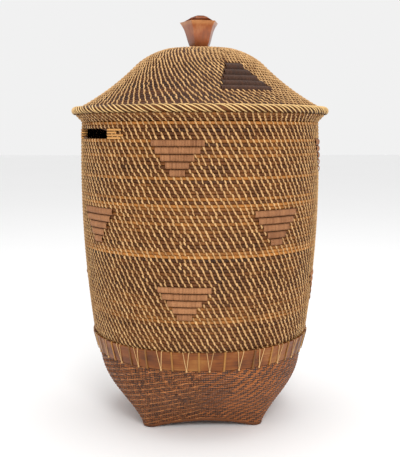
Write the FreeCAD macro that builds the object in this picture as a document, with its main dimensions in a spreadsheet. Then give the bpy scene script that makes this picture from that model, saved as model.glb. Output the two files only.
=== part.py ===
# Woven rattan laundry basket with a lift-off lid.
#
# Coiled cane body on a plaited foot that is square on the floor and round at the top.
# A lashed pair of hoops clamps the foot to the body, a flared collar holds the lid,
# and a carved wooden knob is screwed through the lid's crown.
#
# Millimetres.  +Z up, origin on the floor under the middle of the basket, front towards -Y.
# An azimuth is counted from the front (-Y) towards +X.
import FreeCAD, Part
import math
import os

import Sketcher
from FreeCAD import Placement, Rotation, Vector

# alias, millimetres or degrees or a count, what it is
SIZES = [
    ("foot_half_side", 94.0, "plaited foot, half its width on the floor"),
    ("foot_corner", 12.0, "corner radius on the floor"),
    ("shin_height", 36.0, "first section above the floor"),
    ("shin_half_side", 117.5, ""),
    ("shin_corner", 46.0, ""),
    ("calf_height", 80.0, "second section"),
    ("calf_half_side", 158.8, ""),
    ("calf_corner", 135.0, ""),
    ("base_top", 118.5, "where the foot is all but round"),
    ("base_top_half_side", 169.4, ""),
    ("base_top_corner", 168.4, ""),
    ("base_thickness", 5.0, "plaited cane, two layers"),
    ("arch_rise", 10.5, "how far the floor stands up between the corner feet"),
    ("arch_radius", 310.0, "leaves flat corner pads about 14 across on the floor"),
    ("wall_foot_height", 119.0, "coiled wall, its lowest course"),
    ("wall_foot_radius", 171.2, ""),
    ("hoop_seat_height", 141.5, "top of the tapered seat of the hoop"),
    ("hoop_seat_radius", 177.6, ""),
    ("wall_low_height", 147.0, "first course above the hoop"),
    ("wall_low_radius", 180.3, ""),
    ("neck_height", 491.5, "where the wall meets the collar"),
    ("neck_radius", 202.0, ""),
    ("wall_bulge", 1869.0, "radius of the wall's curve seen from the side"),
    ("wall_thickness", 7.0, "one coil of cane and its stitches"),
    ("slot_bottom", 462.5, "hand slots, one each side"),
    ("slot_height", 17.3, "three courses"),
    ("slot_length", 98.0, ""),
    ("slot_azimuth", 62.6, "counted from the front towards -X"),
    ("binding_angle", 10.0, "wrapped length at each end of a slot"),
    ("binding_thickness", 1.4, "split cane"),
    ("hoop_bottom", 112.0, "outer hoop"),
    ("hoop_bottom_radius", 173.4, ""),
    ("hoop_top", 141.0, ""),
    ("hoop_top_radius", 182.0, ""),
    ("hoop_thickness", 3.6, ""),
    ("inner_hoop_bottom_radius", 161.7, "inner hoop, outer face"),
    ("inner_hoop_top_radius", 170.0, ""),
    ("lashing_thickness", 1.0, ""),
    ("lashing_tuck", 2.2, "how far a lashing reaches over and under the hoop"),
    ("lashing_angle", 1.2, "width of one lashing round the hoop"),
    ("lashing_count", 56.0, ""),
    ("collar_top_radius", 212.4, "flared collar, outer top corner"),
    ("collar_top_height", 502.4, ""),
    ("collar_lip_radius", 207.3, "inner top corner"),
    ("collar_lip_height", 507.2, ""),
    ("collar_heel_radius", 196.9, "inner bottom corner"),
    ("collar_heel_height", 496.3, ""),
    ("rim_radius", 212.6, "thick top course, its centre line"),
    ("rim_height", 509.35, ""),
    ("rim_coil", 5.1, "its own radius"),
    ("motif_thickness", 1.2, "wrapped bands stand this proud"),
    ("band_gap", 0.6, "between two bands of a motif"),
    ("band_width_1", 81.0, "widest band"),
    ("band_width_2", 68.5, ""),
    ("band_width_3", 51.5, ""),
    ("band_width_4", 36.0, ""),
    ("band_width_5", 23.0, "narrowest band"),
    ("upper_motif_top", 463.6, "top edge of the first band of each tier"),
    ("upper_band_pitch", 11.2, ""),
    ("middle_motif_top", 356.0, ""),
    ("middle_band_pitch", 11.1, ""),
    ("lower_motif_top", 242.6, ""),
    ("lower_band_pitch", 10.4, ""),
    ("upper_azimuth", -12.6, "first motif of each tier, the others a quarter turn apart"),
    ("middle_azimuth", 33.0, ""),
    ("lower_azimuth", -10.1, ""),
    ("lid_coil_radius", 202.9, "edge coil of the lid, its centre line"),
    ("lid_coil_height", 510.5, ""),
    ("lid_coil", 4.3, "its own radius"),
    ("lid_edge_radius", 201.6, "outer lower corner of the lid's shell"),
    ("lid_edge_height", 517.2, ""),
    ("lid_inner_edge_radius", 198.3, "inner lower corner"),
    ("lid_inner_edge_height", 511.1, ""),
    ("lid_shoulder_radius", 107.0, "where the slope turns over to the crown"),
    ("lid_shoulder_height", 590.9, ""),
    ("lid_inner_shoulder_radius", 102.5, ""),
    ("lid_inner_shoulder_height", 585.5, ""),
    ("crown_radius", 58.0, "flat crown"),
    ("crown_height", 615.5, ""),
    ("lid_thickness", 7.0, ""),
    ("slope_curve", 415.0, "hollow curve of the slope"),
    ("inner_slope_curve", 422.0, ""),
    ("shoulder_curve", 120.0, "round curve of the shoulder"),
    ("inner_shoulder_curve", 113.0, ""),
    ("lid_motif_azimuth", 24.5, "two dark patches, opposite each other"),
    ("lid_band_outer_radius", 168.0, "lower edge of the widest band"),
    ("lid_band_pitch", 11.0, "between two bands, measured flat"),
    ("lid_band_width_1", 90.0, ""),
    ("lid_band_width_2", 76.0, ""),
    ("lid_band_width_3", 61.0, ""),
    ("lid_band_width_4", 46.0, ""),
    ("lid_band_width_5", 31.0, ""),
    ("washer_radius", 24.0, "wooden disc under the crown"),
    ("washer_thickness", 5.0, ""),
    ("screw_radius", 2.5, ""),
    ("screw_head_radius", 5.0, ""),
    ("screw_head_height", 3.0, ""),
    ("screw_length", 45.0, "from under its head"),
    ("knob_turn", -10.3, "five-sided knob, its turn about the axis"),
    ("knob_foot", 16.8, "corner radius of each section going up"),
    ("knob_ankle", 18.1, ""),
    ("knob_bowl", 21.3, ""),
    ("knob_waist", 23.9, ""),
    ("knob_flare", 29.5, ""),
    ("knob_brim", 36.0, ""),
    ("knob_cap_edge", 30.5, ""),
    ("knob_cap", 16.5, ""),
    ("knob_top", 8.9, ""),
    ("knob_ankle_height", 3.8, "heights above the crown"),
    ("knob_bowl_height", 10.7, ""),
    ("knob_waist_height", 17.6, ""),
    ("knob_flare_height", 35.5, ""),
    ("knob_brim_height", 44.6, ""),
    ("knob_cap_edge_height", 48.7, ""),
    ("knob_cap_height", 56.5, ""),
    ("knob_top_height", 59.1, ""),
]
VALUE = {alias: number for alias, number, _ in SIZES}
ORIGIN = (-1, 1)                # the sketch's own origin as a constraint's first two arguments
ACROSS_AXIS = -1                # the sketch's horizontal axis
UP_AXIS = -2                    # the sketch's vertical axis
ARCH_LENGTH = 500.0             # longer than the foot is wide
BAND_BOX_DEPTH = 40.0           # radial depth of the block that cuts one band out of the skin

doc = FreeCAD.newDocument("laundry_basket")
sheet = doc.addObject("Spreadsheet::Sheet", "Sizes")
pieces = []


def fill_sheet():
    """One row for each driving dimension: its name, its value, which carries the alias, and a note."""
    for row, (alias, number, note) in enumerate(SIZES, start=1):
        sheet.set(f"A{row}", alias)
        sheet.set(f"B{row}", str(number))
        sheet.setAlias(f"B{row}", alias)
        sheet.set(f"C{row}", note)
    doc.recompute()


def amount(words):
    """The value of a sum such as "neck_radius - wall_thickness"."""
    total, sign = 0.0, 1.0
    for word in words.split():
        if word in ("+", "-"):
            sign = 1.0 if word == "+" else -1.0
        else:
            total += sign * (VALUE[word] if word in VALUE else float(word))
    return total


def formula(words):
    """The same sum as an expression on the sheet's cells."""
    return " ".join(f"Sizes.{word}" if word in VALUE else word for word in words.split())


def bind(thing, **sizes):
    """Binds properties of an object to the sheet, each by a sum of aliases."""
    for name, words in sizes.items():
        thing.setExpression(name, formula(words))


def keep(thing, label):
    """Marks an object as a sub-part of the basket under the name of its file."""
    thing.Label = label
    pieces.append(thing)
    return thing


def turn(azimuth):
    return Rotation(Vector(0, 0, 1), azimuth)


# ---- sketches ---------------------------------------------------------------------------------

def sketch_on(body, name, role, offset=None):
    sketch = body.newObject("Sketcher::SketchObject", name)
    plane = next(f for f in body.Origin.OriginFeatures if f.Role == role)
    sketch.AttachmentSupport = [(plane, "")]
    sketch.MapMode = "FlatFace"
    if offset is not None:
        sketch.AttachmentOffset = offset
    return sketch


def arc_through(start, end, radius):
    """Arc from start to end.  A positive radius bulges to the right of the way from start to end."""
    chord = end - start
    half = chord.Length / 2
    rise = abs(radius) - math.sqrt(radius * radius - half * half)
    right = Vector(chord.y, -chord.x, 0).normalize()
    middle = (start + end) * 0.5 + right * math.copysign(rise, radius)
    return Part.Arc(start, middle, end) if radius > 0 else Part.Arc(end, middle, start)


def place_corner(sketch, edge, point, across, up):
    """Ties one end of an edge to the sketch's axes."""
    for words, kind, axis in ((across, "DistanceX", UP_AXIS), (up, "DistanceY", ACROSS_AXIS)):
        if amount(words) == 0:
            sketch.addConstraint(Sketcher.Constraint("PointOnObject", edge, point, axis))
            continue
        index = sketch.addConstraint(
            Sketcher.Constraint(kind, *ORIGIN, edge, point, amount(words)))
        sketch.setExpression(f"Constraints[{index}]", formula(words))


def outline(sketch, corners, arcs=None):
    """Closed outline through corners, each a pair of sums (across, up).

    arcs maps an edge's number to (sign, alias of its radius); every other edge is straight."""
    arcs = arcs or {}
    places = [Vector(amount(across), amount(up), 0) for across, up in corners]
    ends = []
    for number, start in enumerate(places):
        end = places[(number + 1) % len(places)]
        if number in arcs:
            sign, alias = arcs[number]
            sketch.addGeometry(arc_through(start, end, sign * amount(alias)))
        else:
            sketch.addGeometry(Part.LineSegment(start, end))
        begins = (sketch.getPoint(number, 1) - start).Length < 1e-6
        ends.append((1, 2) if begins else (2, 1))
    for number, (first, last) in enumerate(ends):
        following = (number + 1) % len(places)
        sketch.addConstraint(Sketcher.Constraint(
            "Coincident", number, last, following, ends[following][0]))
        place_corner(sketch, number, first, *corners[number])
    for number, (_, alias) in arcs.items():
        index = sketch.addConstraint(Sketcher.Constraint("Radius", number, amount(alias)))
        sketch.setExpression(f"Constraints[{index}]", formula(alias))


def revolved(name, corners, arcs=None, angle=None):
    """A body made by turning an outline in the XZ plane round the basket's axis."""
    body = doc.addObject("PartDesign::Body", name)
    sketch = sketch_on(body, f"{name}_outline", "XZ_Plane")
    outline(sketch, corners, arcs)
    doc.recompute()
    solid = body.newObject("PartDesign::Revolution", f"{name}_turned")
    solid.Profile = sketch
    solid.ReferenceAxis = (sketch, ["V_Axis"])
    solid.Angle = 360.0
    if angle:
        solid.setExpression("Angle", formula(angle))
    sketch.Visibility = False
    return body


def rounded_square(body, name, up, half_side, corner, inset):
    """Sketch of a square with round corners, drawn in by an inset, at a height above the floor."""
    sketch = sketch_on(body, name, "XY_Plane")
    sketch.setExpression("AttachmentOffset.Base.z", formula(up))
    side = {1: f"{half_side} - {inset}", -1: f"{inset} - {half_side}"}
    straight = {1: f"{half_side} - {corner}", -1: f"{corner} - {half_side}"}
    corners = []
    for across, above in ((1, 1), (1, -1), (-1, -1), (-1, 1)):
        on_flat = (straight[across], side[above])
        on_flank = (side[across], straight[above])
        corners += [on_flat, on_flank] if across == above else [on_flank, on_flat]
    outline(sketch, corners, {edge: (-1, f"{corner} - {inset}") for edge in (0, 2, 4, 6)})
    return sketch


def polygon(body, name, up, radius, sides=5):
    """Sketch of a regular polygon whose corners lie on a circle."""
    sketch = sketch_on(body, name, "XY_Plane")
    sketch.setExpression("AttachmentOffset.Base.z", formula(up))
    size = amount(radius)
    step = 2 * math.pi / sides
    places = [Vector(size * math.cos((n + 0.5) * step), size * math.sin((n + 0.5) * step), 0)
              for n in range(sides)]
    for number, place in enumerate(places):
        sketch.addGeometry(Part.LineSegment(place, places[(number + 1) % sides]))
    ring = sketch.addGeometry(Part.Circle(Vector(0, 0, 0), Vector(0, 0, 1), size), True)
    sketch.addConstraint(Sketcher.Constraint("Coincident", ring, 3, *ORIGIN))
    for number in range(sides):
        sketch.addConstraint(Sketcher.Constraint(
            "Coincident", number, 2, (number + 1) % sides, 1))
        sketch.addConstraint(Sketcher.Constraint("PointOnObject", number, 1, ring))
    for number in range(1, sides):
        sketch.addConstraint(Sketcher.Constraint("Equal", 0, number))
    sketch.addConstraint(Sketcher.Constraint("Vertical", sides - 1))
    index = sketch.addConstraint(Sketcher.Constraint("Radius", ring, size))
    sketch.setExpression(f"Constraints[{index}]", formula(radius))
    return sketch


def lofted(body, sections, ruled):
    """A solid through all the sections, from the first up to the last."""
    doc.recompute()
    loft = body.newObject("PartDesign::AdditiveLoft", f"{body.Name}_loft")
    loft.Profile = sections[0]
    loft.Sections = sections[1:]
    loft.Ruled = ruled
    for section in sections:
        section.Visibility = False
    return loft


# ---- Part primitives and booleans -------------------------------------------------------------

def cylinder(name, radius, length, place=Placement(), angle=None):
    rod = doc.addObject("Part::Cylinder", name)
    bind(rod, Radius=radius, Height=length)
    if angle:
        bind(rod, Angle=angle)
    rod.Placement = place
    return rod


def torus(name, ring_radius, coil, up):
    ring = doc.addObject("Part::Torus", name)
    bind(ring, Radius1=ring_radius, Radius2=coil)
    ring.setExpression("Placement.Base.z", formula(up))
    return ring


def joined(name, *shapes):
    whole = doc.addObject("Part::MultiFuse", name)
    whole.Shapes = shapes
    return whole


def boolean(kind, name, base, tool):
    """kind is Cut or Common."""
    result = doc.addObject(f"Part::{kind}", name)
    result.Base = base
    result.Tool = tool
    return result


def together(name, shapes):
    """Separate solids side by side in one node."""
    group = doc.addObject("Part::Compound", name)
    group.Links = shapes
    return group


# ---- the plaited foot -------------------------------------------------------------------------

FOOT_SECTIONS = [
    ("0", "foot_half_side", "foot_corner"),
    ("shin_height", "shin_half_side", "shin_corner"),
    ("calf_height", "calf_half_side", "calf_corner"),
    ("base_top", "base_top_half_side", "base_top_corner"),
]


def arch_rods(prefix, radius):
    """Two crossed rods whose tops are the arches between the corner feet."""
    rods = []
    for name, axis in (("front_to_back", Vector(1, 0, 0)), ("side_to_side", Vector(0, 1, 0))):
        rod = cylinder(f"{prefix}_{name}", radius, "0", Placement(Vector(), Rotation(axis, 90)))
        rod.setExpression("Height", str(ARCH_LENGTH))
        run = rod.Placement.Rotation.multVec(Vector(0, 0, -ARCH_LENGTH / 2))
        rod.Placement.Base = Vector(run.x, run.y, amount("arch_rise - arch_radius"))
        rods.append(rod)
    return joined(f"{prefix}_rods", *rods)


def plaited_base():
    blanks = []
    for name, inset in (("foot_blank", "0"), ("foot_hollow", "base_thickness")):
        body = doc.addObject("PartDesign::Body", name)
        sections = []
        for number, (up, half_side, corner) in enumerate(FOOT_SECTIONS):
            height = inset if up == "0" else up
            sections.append(rounded_square(
                body, f"{name}_{number}", height, half_side, corner, inset))
        lofted(body, sections, ruled=False)
        blanks.append(body)
    blank, hollow = blanks
    arches = arch_rods("arch", "arch_radius")
    raised = arch_rods("raised_arch", "arch_radius + base_thickness")
    cavity = boolean("Cut", "foot_cavity", hollow, raised)
    keep(boolean("Cut", "foot", blank, joined("foot_tools", arches, cavity)), "plaited_base")


# ---- coiled wall, collar and rim --------------------------------------------------------------

WALL_INSIDE = " - wall_thickness"


def coiled_wall():
    """One course of cane thick, with a hand slot cut through each side."""
    outer = [
        ("wall_foot_radius", "wall_foot_height"),
        ("hoop_seat_radius", "hoop_seat_height"),
        ("wall_low_radius", "wall_low_height"),
        ("neck_radius", "neck_height"),
    ]
    inner = [(across + WALL_INSIDE, up) for across, up in reversed(outer)]
    arcs = {2: (1, "wall_bulge"), 4: (-1, "wall_bulge - wall_thickness")}
    body = revolved("wall", outer + inner, arcs)
    facing = Placement(Vector(), Rotation(Vector(0, 1, 0), -amount("slot_azimuth")))
    sketch = sketch_on(body, "hand_slot_outline", "XZ_Plane", facing)
    half = amount("slot_length") / 2
    low, high = amount("slot_bottom"), amount("slot_bottom + slot_height")
    corners = [Vector(-half, low, 0), Vector(half, low, 0), Vector(half, high, 0),
               Vector(-half, high, 0)]
    for number, corner in enumerate(corners):
        sketch.addGeometry(Part.LineSegment(corner, corners[(number + 1) % 4]))
    for number, direction in ((1, "Vertical"), (2, "Horizontal"), (3, "Vertical")):
        sketch.addConstraint(Sketcher.Constraint(direction, number))
    for number in range(4):
        sketch.addConstraint(Sketcher.Constraint("Coincident", number, 2, (number + 1) % 4, 1))
    sketch.addConstraint(Sketcher.Constraint("Symmetric", 0, 1, 0, 2, UP_AXIS))
    for kind, first, second, words in (
            ("DistanceX", (0, 1), (0, 2), "slot_length"),
            ("DistanceY", (1, 1), (1, 2), "slot_height"),
            ("DistanceY", ORIGIN, (0, 1), "slot_bottom")):
        index = sketch.addConstraint(Sketcher.Constraint(kind, *first, *second, amount(words)))
        sketch.setExpression(f"Constraints[{index}]", formula(words))
    doc.recompute()
    whole = body.Shape.Volume
    slots = body.newObject("PartDesign::Pocket", "hand_slots")
    slots.Profile = sketch
    slots.Type = "ThroughAll"
    slots.Midplane = True
    doc.recompute()
    expected = 2 * amount("slot_length") * amount("slot_height") * amount("wall_thickness")
    if whole - body.Shape.Volume < 0.9 * expected:
        raise RuntimeError("the hand slots don't pass through both sides of the wall")
    return keep(body, "coiled_wall")


def slot_bindings(wall):
    """Split cane wrapped round both ends of both slots, hugging the wall inside and out."""
    half_slot = math.degrees(math.asin(amount("slot_length") / 2 / amount("neck_radius")))
    wrap = amount("binding_angle")
    end_lap = math.degrees(amount("binding_thickness") / amount("neck_radius"))
    middles = {"left": -amount("slot_azimuth"), "right": 180 - amount("slot_azimuth")}
    for side, middle in middles.items():
        for end in ("front", "back"):
            name = f"slot_binding_{side}_{end}"
            towards_front = (end == "front") == (side == "left")
            start = middle + (half_slot - end_lap if towards_front
                              else -half_slot + end_lap - wrap)
            place = Placement(Vector(0, 0, amount("slot_bottom")), turn(start - 90))
            slice_ = cylinder(f"{name}_outside", "neck_radius + binding_thickness",
                              "slot_height", place, "binding_angle")
            core = cylinder(f"{name}_inside",
                            "neck_radius - wall_thickness - binding_thickness",
                            "slot_height", place)
            block = boolean("Cut", f"{name}_block", slice_, core)
            keep(boolean("Cut", f"{name}_wrap", block, wall), name)


def rim():
    """Flared collar of a few courses with one thick course on top, which the lid sits inside."""
    corners = [
        ("neck_radius", "neck_height"),
        ("collar_top_radius", "collar_top_height"),
        ("collar_lip_radius", "collar_lip_height"),
        ("collar_heel_radius", "collar_heel_height"),
        ("neck_radius - wall_thickness", "neck_height"),
    ]
    keep(revolved("collar", corners), "rim_collar")
    keep(torus("rim", "rim_radius", "rim_coil", "rim_height"), "rim_edge_coil")


# ---- hoops and lashings -----------------------------------------------------------------------

def hoop(name, label, bottom_radius, top_radius):
    thick = " - hoop_thickness"
    keep(revolved(name, [
        (bottom_radius, "hoop_bottom"),
        (top_radius, "hoop_top"),
        (top_radius + thick, "hoop_top"),
        (bottom_radius + thick, "hoop_bottom"),
    ]), label)


def lashings():
    """Split cane straps that hold the outer hoop, each hooked over its two edges."""
    proud = " + lashing_thickness"
    tucked = " - lashing_tuck"
    body = revolved("lashing", [
        ("hoop_bottom_radius" + proud, "hoop_bottom - lashing_thickness"),
        ("hoop_top_radius" + proud, "hoop_top" + proud),
        ("hoop_top_radius" + tucked, "hoop_top" + proud),
        ("hoop_top_radius" + tucked, "hoop_top"),
        ("hoop_top_radius", "hoop_top"),
        ("hoop_bottom_radius", "hoop_bottom"),
        ("hoop_bottom_radius" + tucked, "hoop_bottom"),
        ("hoop_bottom_radius" + tucked, "hoop_bottom - lashing_thickness"),
    ], angle="lashing_angle")
    body.AllowCompound = True
    doc.recompute()
    row = body.newObject("PartDesign::PolarPattern", "lashing_row")
    row.Originals = [doc.getObject("lashing_turned")]
    row.Axis = (doc.getObject("lashing_outline"), ["V_Axis"])
    row.Angle = 360.0
    bind(row, Occurrences="lashing_count")
    body.Tip = row
    keep(body, "hoop_lashings")


# ---- wrapped motifs ---------------------------------------------------------------------------

def wall_skin():
    """Thin layer all over the outside of the wall, which the bands are cut from."""
    thick = " + motif_thickness"
    return revolved("wall_skin", [
        ("wall_low_radius", "wall_low_height"),
        ("neck_radius", "neck_height"),
        ("neck_radius" + thick, "neck_height"),
        ("wall_low_radius" + thick, "wall_low_height"),
    ], {0: (1, "wall_bulge"), 2: (-1, "wall_bulge")})


def band_box(name, tier, number):
    """Block at the front of the wall that a band of one motif fills."""
    box = doc.addObject("Part::Box", name)
    width = f"band_width_{number}"
    bind(box, Length=width, Height=f"{tier}_band_pitch - band_gap")
    box.Width = BAND_BOX_DEPTH
    box.setExpression("Placement.Base.x", f"-Sizes.{width} / 2")
    box.setExpression("Placement.Base.y", f"-Sizes.neck_radius - {BAND_BOX_DEPTH / 4}")
    box.setExpression("Placement.Base.z",
                      f"Sizes.{tier}_motif_top - {number} * Sizes.{tier}_band_pitch")
    return box


def wall_motifs():
    """Three tiers of four stepped triangles, point down, each of five wrapped bands."""
    skin = wall_skin()
    for tier in ("upper", "middle", "lower"):
        for quarter in range(4):
            name = f"motif_{tier}_{quarter + 1}"
            boxes = [band_box(f"{name}_block_{band}", tier, band) for band in range(1, 6)]
            motif = boolean("Common", f"{name}_bands", skin, together(f"{name}_blocks", boxes))
            motif.Placement = Placement(Vector(), turn(amount(f"{tier}_azimuth") + 90 * quarter))
            keep(motif, name)


# ---- lid --------------------------------------------------------------------------------------

LID_OUTSIDE = [
    ("lid_edge_radius", "lid_edge_height"),
    ("lid_shoulder_radius", "lid_shoulder_height"),
    ("crown_radius", "crown_height"),
    ("screw_radius", "crown_height"),
]


def lid_shell():
    inside = [
        ("screw_radius", "crown_height - lid_thickness"),
        ("crown_radius", "crown_height - lid_thickness"),
        ("lid_inner_shoulder_radius", "lid_inner_shoulder_height"),
        ("lid_inner_edge_radius", "lid_inner_edge_height"),
    ]
    arcs = {
        0: (-1, "slope_curve"),
        1: (1, "shoulder_curve"),
        5: (-1, "inner_shoulder_curve"),
        6: (1, "inner_slope_curve"),
    }
    keep(revolved("lid", LID_OUTSIDE + inside, arcs), "lid_shell")
    keep(torus("lid_edge", "lid_coil_radius", "lid_coil", "lid_coil_height"), "lid_edge_coil")


def lid_motifs():
    """Two stepped triangles, point up, of five dark wrapped bands each."""
    thick = " + motif_thickness"
    skin = revolved("lid_skin", [
        ("lid_edge_radius", "lid_edge_height"),
        ("lid_shoulder_radius", "lid_shoulder_height"),
        ("crown_radius", "crown_height"),
        ("crown_radius", "crown_height" + thick),
        ("lid_shoulder_radius", "lid_shoulder_height" + thick),
        ("lid_edge_radius", "lid_edge_height" + thick),
    ], {0: (-1, "slope_curve"), 1: (1, "shoulder_curve"),
        3: (-1, "shoulder_curve"), 4: (1, "slope_curve")})
    for side in range(2):
        name = f"lid_motif_{side + 1}"
        bands = []
        for number in range(1, 6):
            outer = f"lid_band_outer_radius - {number - 1} * Sizes.lid_band_pitch"
            inner = f"lid_band_outer_radius - {number} * Sizes.lid_band_pitch + band_gap"
            width = amount(f"lid_band_width_{number}")
            middle = amount("lid_band_outer_radius") - (number - 0.5) * amount("lid_band_pitch")
            spread = math.degrees(width / middle)
            start = amount("lid_motif_azimuth") - 90 - spread / 2 + 180 * side
            place = Placement(Vector(0, 0, amount("lid_edge_height")), turn(start))
            slice_ = cylinder(f"{name}_slice_{number}", outer, "crown_height", place)
            slice_.Angle = spread
            core = cylinder(f"{name}_core_{number}", inner, "crown_height", place)
            bands.append(boolean("Cut", f"{name}_block_{number}", slice_, core))
        keep(boolean("Common", f"{name}_bands", skin, together(f"{name}_blocks", bands)), name)


KNOB_SECTIONS = ["foot", "ankle", "bowl", "waist", "flare", "brim", "cap_edge", "cap", "top"]


def knob():
    """Five-sided carved knob, its screw and the wooden disc that spreads the screw's pull."""
    body = doc.addObject("PartDesign::Body", "knob_body")
    sections = []
    for part in KNOB_SECTIONS:
        rise = "" if part == "foot" else f" + knob_{part}_height"
        sections.append(polygon(body, f"knob_{part}_outline", "crown_height" + rise,
                                f"knob_{part}"))
    lofted(body, sections, ruled=True)
    body.Placement = Placement(Vector(), turn(amount("knob_turn")))
    washer_top = "crown_height - lid_thickness"
    head_top = f"{washer_top} - washer_thickness"
    screw = revolved("screw", [
        ("0", head_top + " - screw_head_height"),
        ("screw_head_radius", head_top + " - screw_head_height"),
        ("screw_head_radius", head_top),
        ("screw_radius", head_top),
        ("screw_radius", head_top + " + screw_length"),
        ("0", head_top + " + screw_length"),
    ])
    keep(boolean("Cut", "knob_bored", body, screw), "knob")
    keep(screw, "knob_screw")
    keep(revolved("washer", [
        ("screw_radius", head_top),
        ("washer_radius", head_top),
        ("washer_radius", washer_top),
        ("screw_radius", washer_top),
    ]), "knob_backing_disc")


# ---- build, test and write --------------------------------------------------------------------

def build():
    fill_sheet()
    plaited_base()
    slot_bindings(coiled_wall())
    rim()
    hoop("outer_hoop", "base_hoop", "hoop_bottom_radius", "hoop_top_radius")
    hoop("inner_hoop", "inner_base_hoop", "inner_hoop_bottom_radius", "inner_hoop_top_radius")
    lashings()
    wall_motifs()
    lid_shell()
    lid_motifs()
    knob()
    doc.recompute()


def test():
    for thing in doc.Objects:
        if "Invalid" in thing.State or "Error" in thing.State:
            raise RuntimeError(f"{thing.Name} failed: {thing.State}")
    for piece in pieces:
        shape = piece.Shape
        if shape.isNull() or not shape.isValid() or not shape.Solids:
            raise RuntimeError(f"{piece.Label} has no valid solid")
        print(f"{piece.Label:26} {len(shape.Solids):3} solids {shape.Volume / 1000:9.2f} cm3")


def write():
    os.makedirs("parts", exist_ok=True)
    for piece in pieces:
        piece.Shape.exportStep(f"parts/{piece.Label}.step")


build()
test()
write()
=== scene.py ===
import math
import random

import bpy
import numpy as np
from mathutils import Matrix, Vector
from mathutils.bvhtree import BVHTree


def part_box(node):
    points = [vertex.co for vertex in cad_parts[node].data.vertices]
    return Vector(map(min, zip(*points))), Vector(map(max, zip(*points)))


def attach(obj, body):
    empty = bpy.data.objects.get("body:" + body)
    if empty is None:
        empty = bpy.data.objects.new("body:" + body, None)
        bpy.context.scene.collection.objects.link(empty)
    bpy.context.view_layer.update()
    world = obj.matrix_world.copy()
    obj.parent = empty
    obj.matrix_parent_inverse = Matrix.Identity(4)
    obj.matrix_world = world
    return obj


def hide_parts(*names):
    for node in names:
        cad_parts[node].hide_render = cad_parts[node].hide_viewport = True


bl_info = {
    "name": "Woven laundry basket",
    "version": (1, 0, 0),
    "blender": (4, 5, 0),
    "location": "3D View > Sidebar > Basket",
    "description": "Coiled and plaited cane dressed over a basket's frame, with its lid and knob",
    "category": "Add Mesh",
}

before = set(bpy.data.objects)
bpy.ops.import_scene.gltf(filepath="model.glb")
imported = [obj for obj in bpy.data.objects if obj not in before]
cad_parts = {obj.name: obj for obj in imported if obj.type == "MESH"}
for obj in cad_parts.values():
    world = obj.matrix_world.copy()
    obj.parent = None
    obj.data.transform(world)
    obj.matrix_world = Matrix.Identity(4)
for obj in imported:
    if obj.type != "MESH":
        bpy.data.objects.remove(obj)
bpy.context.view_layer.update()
TURN = 2 * math.pi
SEED = 20
CLEAR = 0.4  # a distance from the axis that is outside every node


# ---- settings ---------------------------------------------------------------------------------

def length(name, description, default):
    """A setting that is a length."""
    return bpy.props.FloatProperty(name=name, description=description, default=default,
                                   unit="LENGTH", subtype="DISTANCE", precision=5)


def colour(name, description, default):
    """A setting that is a colour."""
    return bpy.props.FloatVectorProperty(name=name, description=description, default=default,
                                         size=3, subtype="COLOR", min=0.0, max=1.0)


class BasketSizes(bpy.types.PropertyGroup):
    """Sizes of the cane, the stitches and the plaiting"""
    cane_pitch: length("Cane pitch", "From one course of the wall to the next", 0.0054)
    lid_pitch: length("Lid pitch", "From one course of the lid to the next", 0.0070)
    stitch_width: length("Stitch width", "Width of one split-cane stitch", 0.0032)
    stitch_lift: length("Stitch thickness", "How thick a stitch is", 0.0012)
    stitches: bpy.props.IntProperty(name="Stitches", description="Stitches in one course",
                                    default=124, min=8)
    lean: bpy.props.FloatProperty(name="Lean", description="Sideways step of a stitch for "
                                  "each millimetre it rises", default=0.60)
    wrap_width: length("Wrap width", "Width of one turn of a motif's wrapping", 0.0023)
    border_width: length("Border strand", "Width of one strand of the rim's border", 0.0040)
    weft_pitch: length("Weft pitch", "From one level strip of the foot to the next", 0.0037)
    warp_count: bpy.props.IntProperty(name="Warps", description="Upright strips round the foot",
                                      default=252, min=8)
    lid_stitches: bpy.props.IntProperty(name="Lid stitches", min=8, default=112,
                                        description="Stitches in the lid's outer courses")
    camera_distance: length("Camera distance", "From the axis to the camera", 1.385)
    camera_azimuth: bpy.props.FloatProperty(name="Camera azimuth", subtype="ANGLE", precision=4,
                                            description="Where the camera stands, counted "
                                            "from the front towards the right", default=-0.0524)
    eye_height: length("Eye height", "Of the camera above the floor", 0.4741)
    camera_lens: bpy.props.FloatProperty(name="Lens", subtype="DISTANCE_CAMERA",
                                         description="Focal length", default=63.1)
    camera_shift: bpy.props.FloatProperty(name="Lens shift", description="Fall of the lens, as "
                                          "a share of the picture's height", default=-0.2112)
    daylight: bpy.props.FloatProperty(name="Daylight", description="Strength of the white "
                                      "surroundings", default=0.88)
    key_power: bpy.props.FloatProperty(name="Key light", subtype="POWER",
                                       description="Power of the main light", default=38.0)


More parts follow.
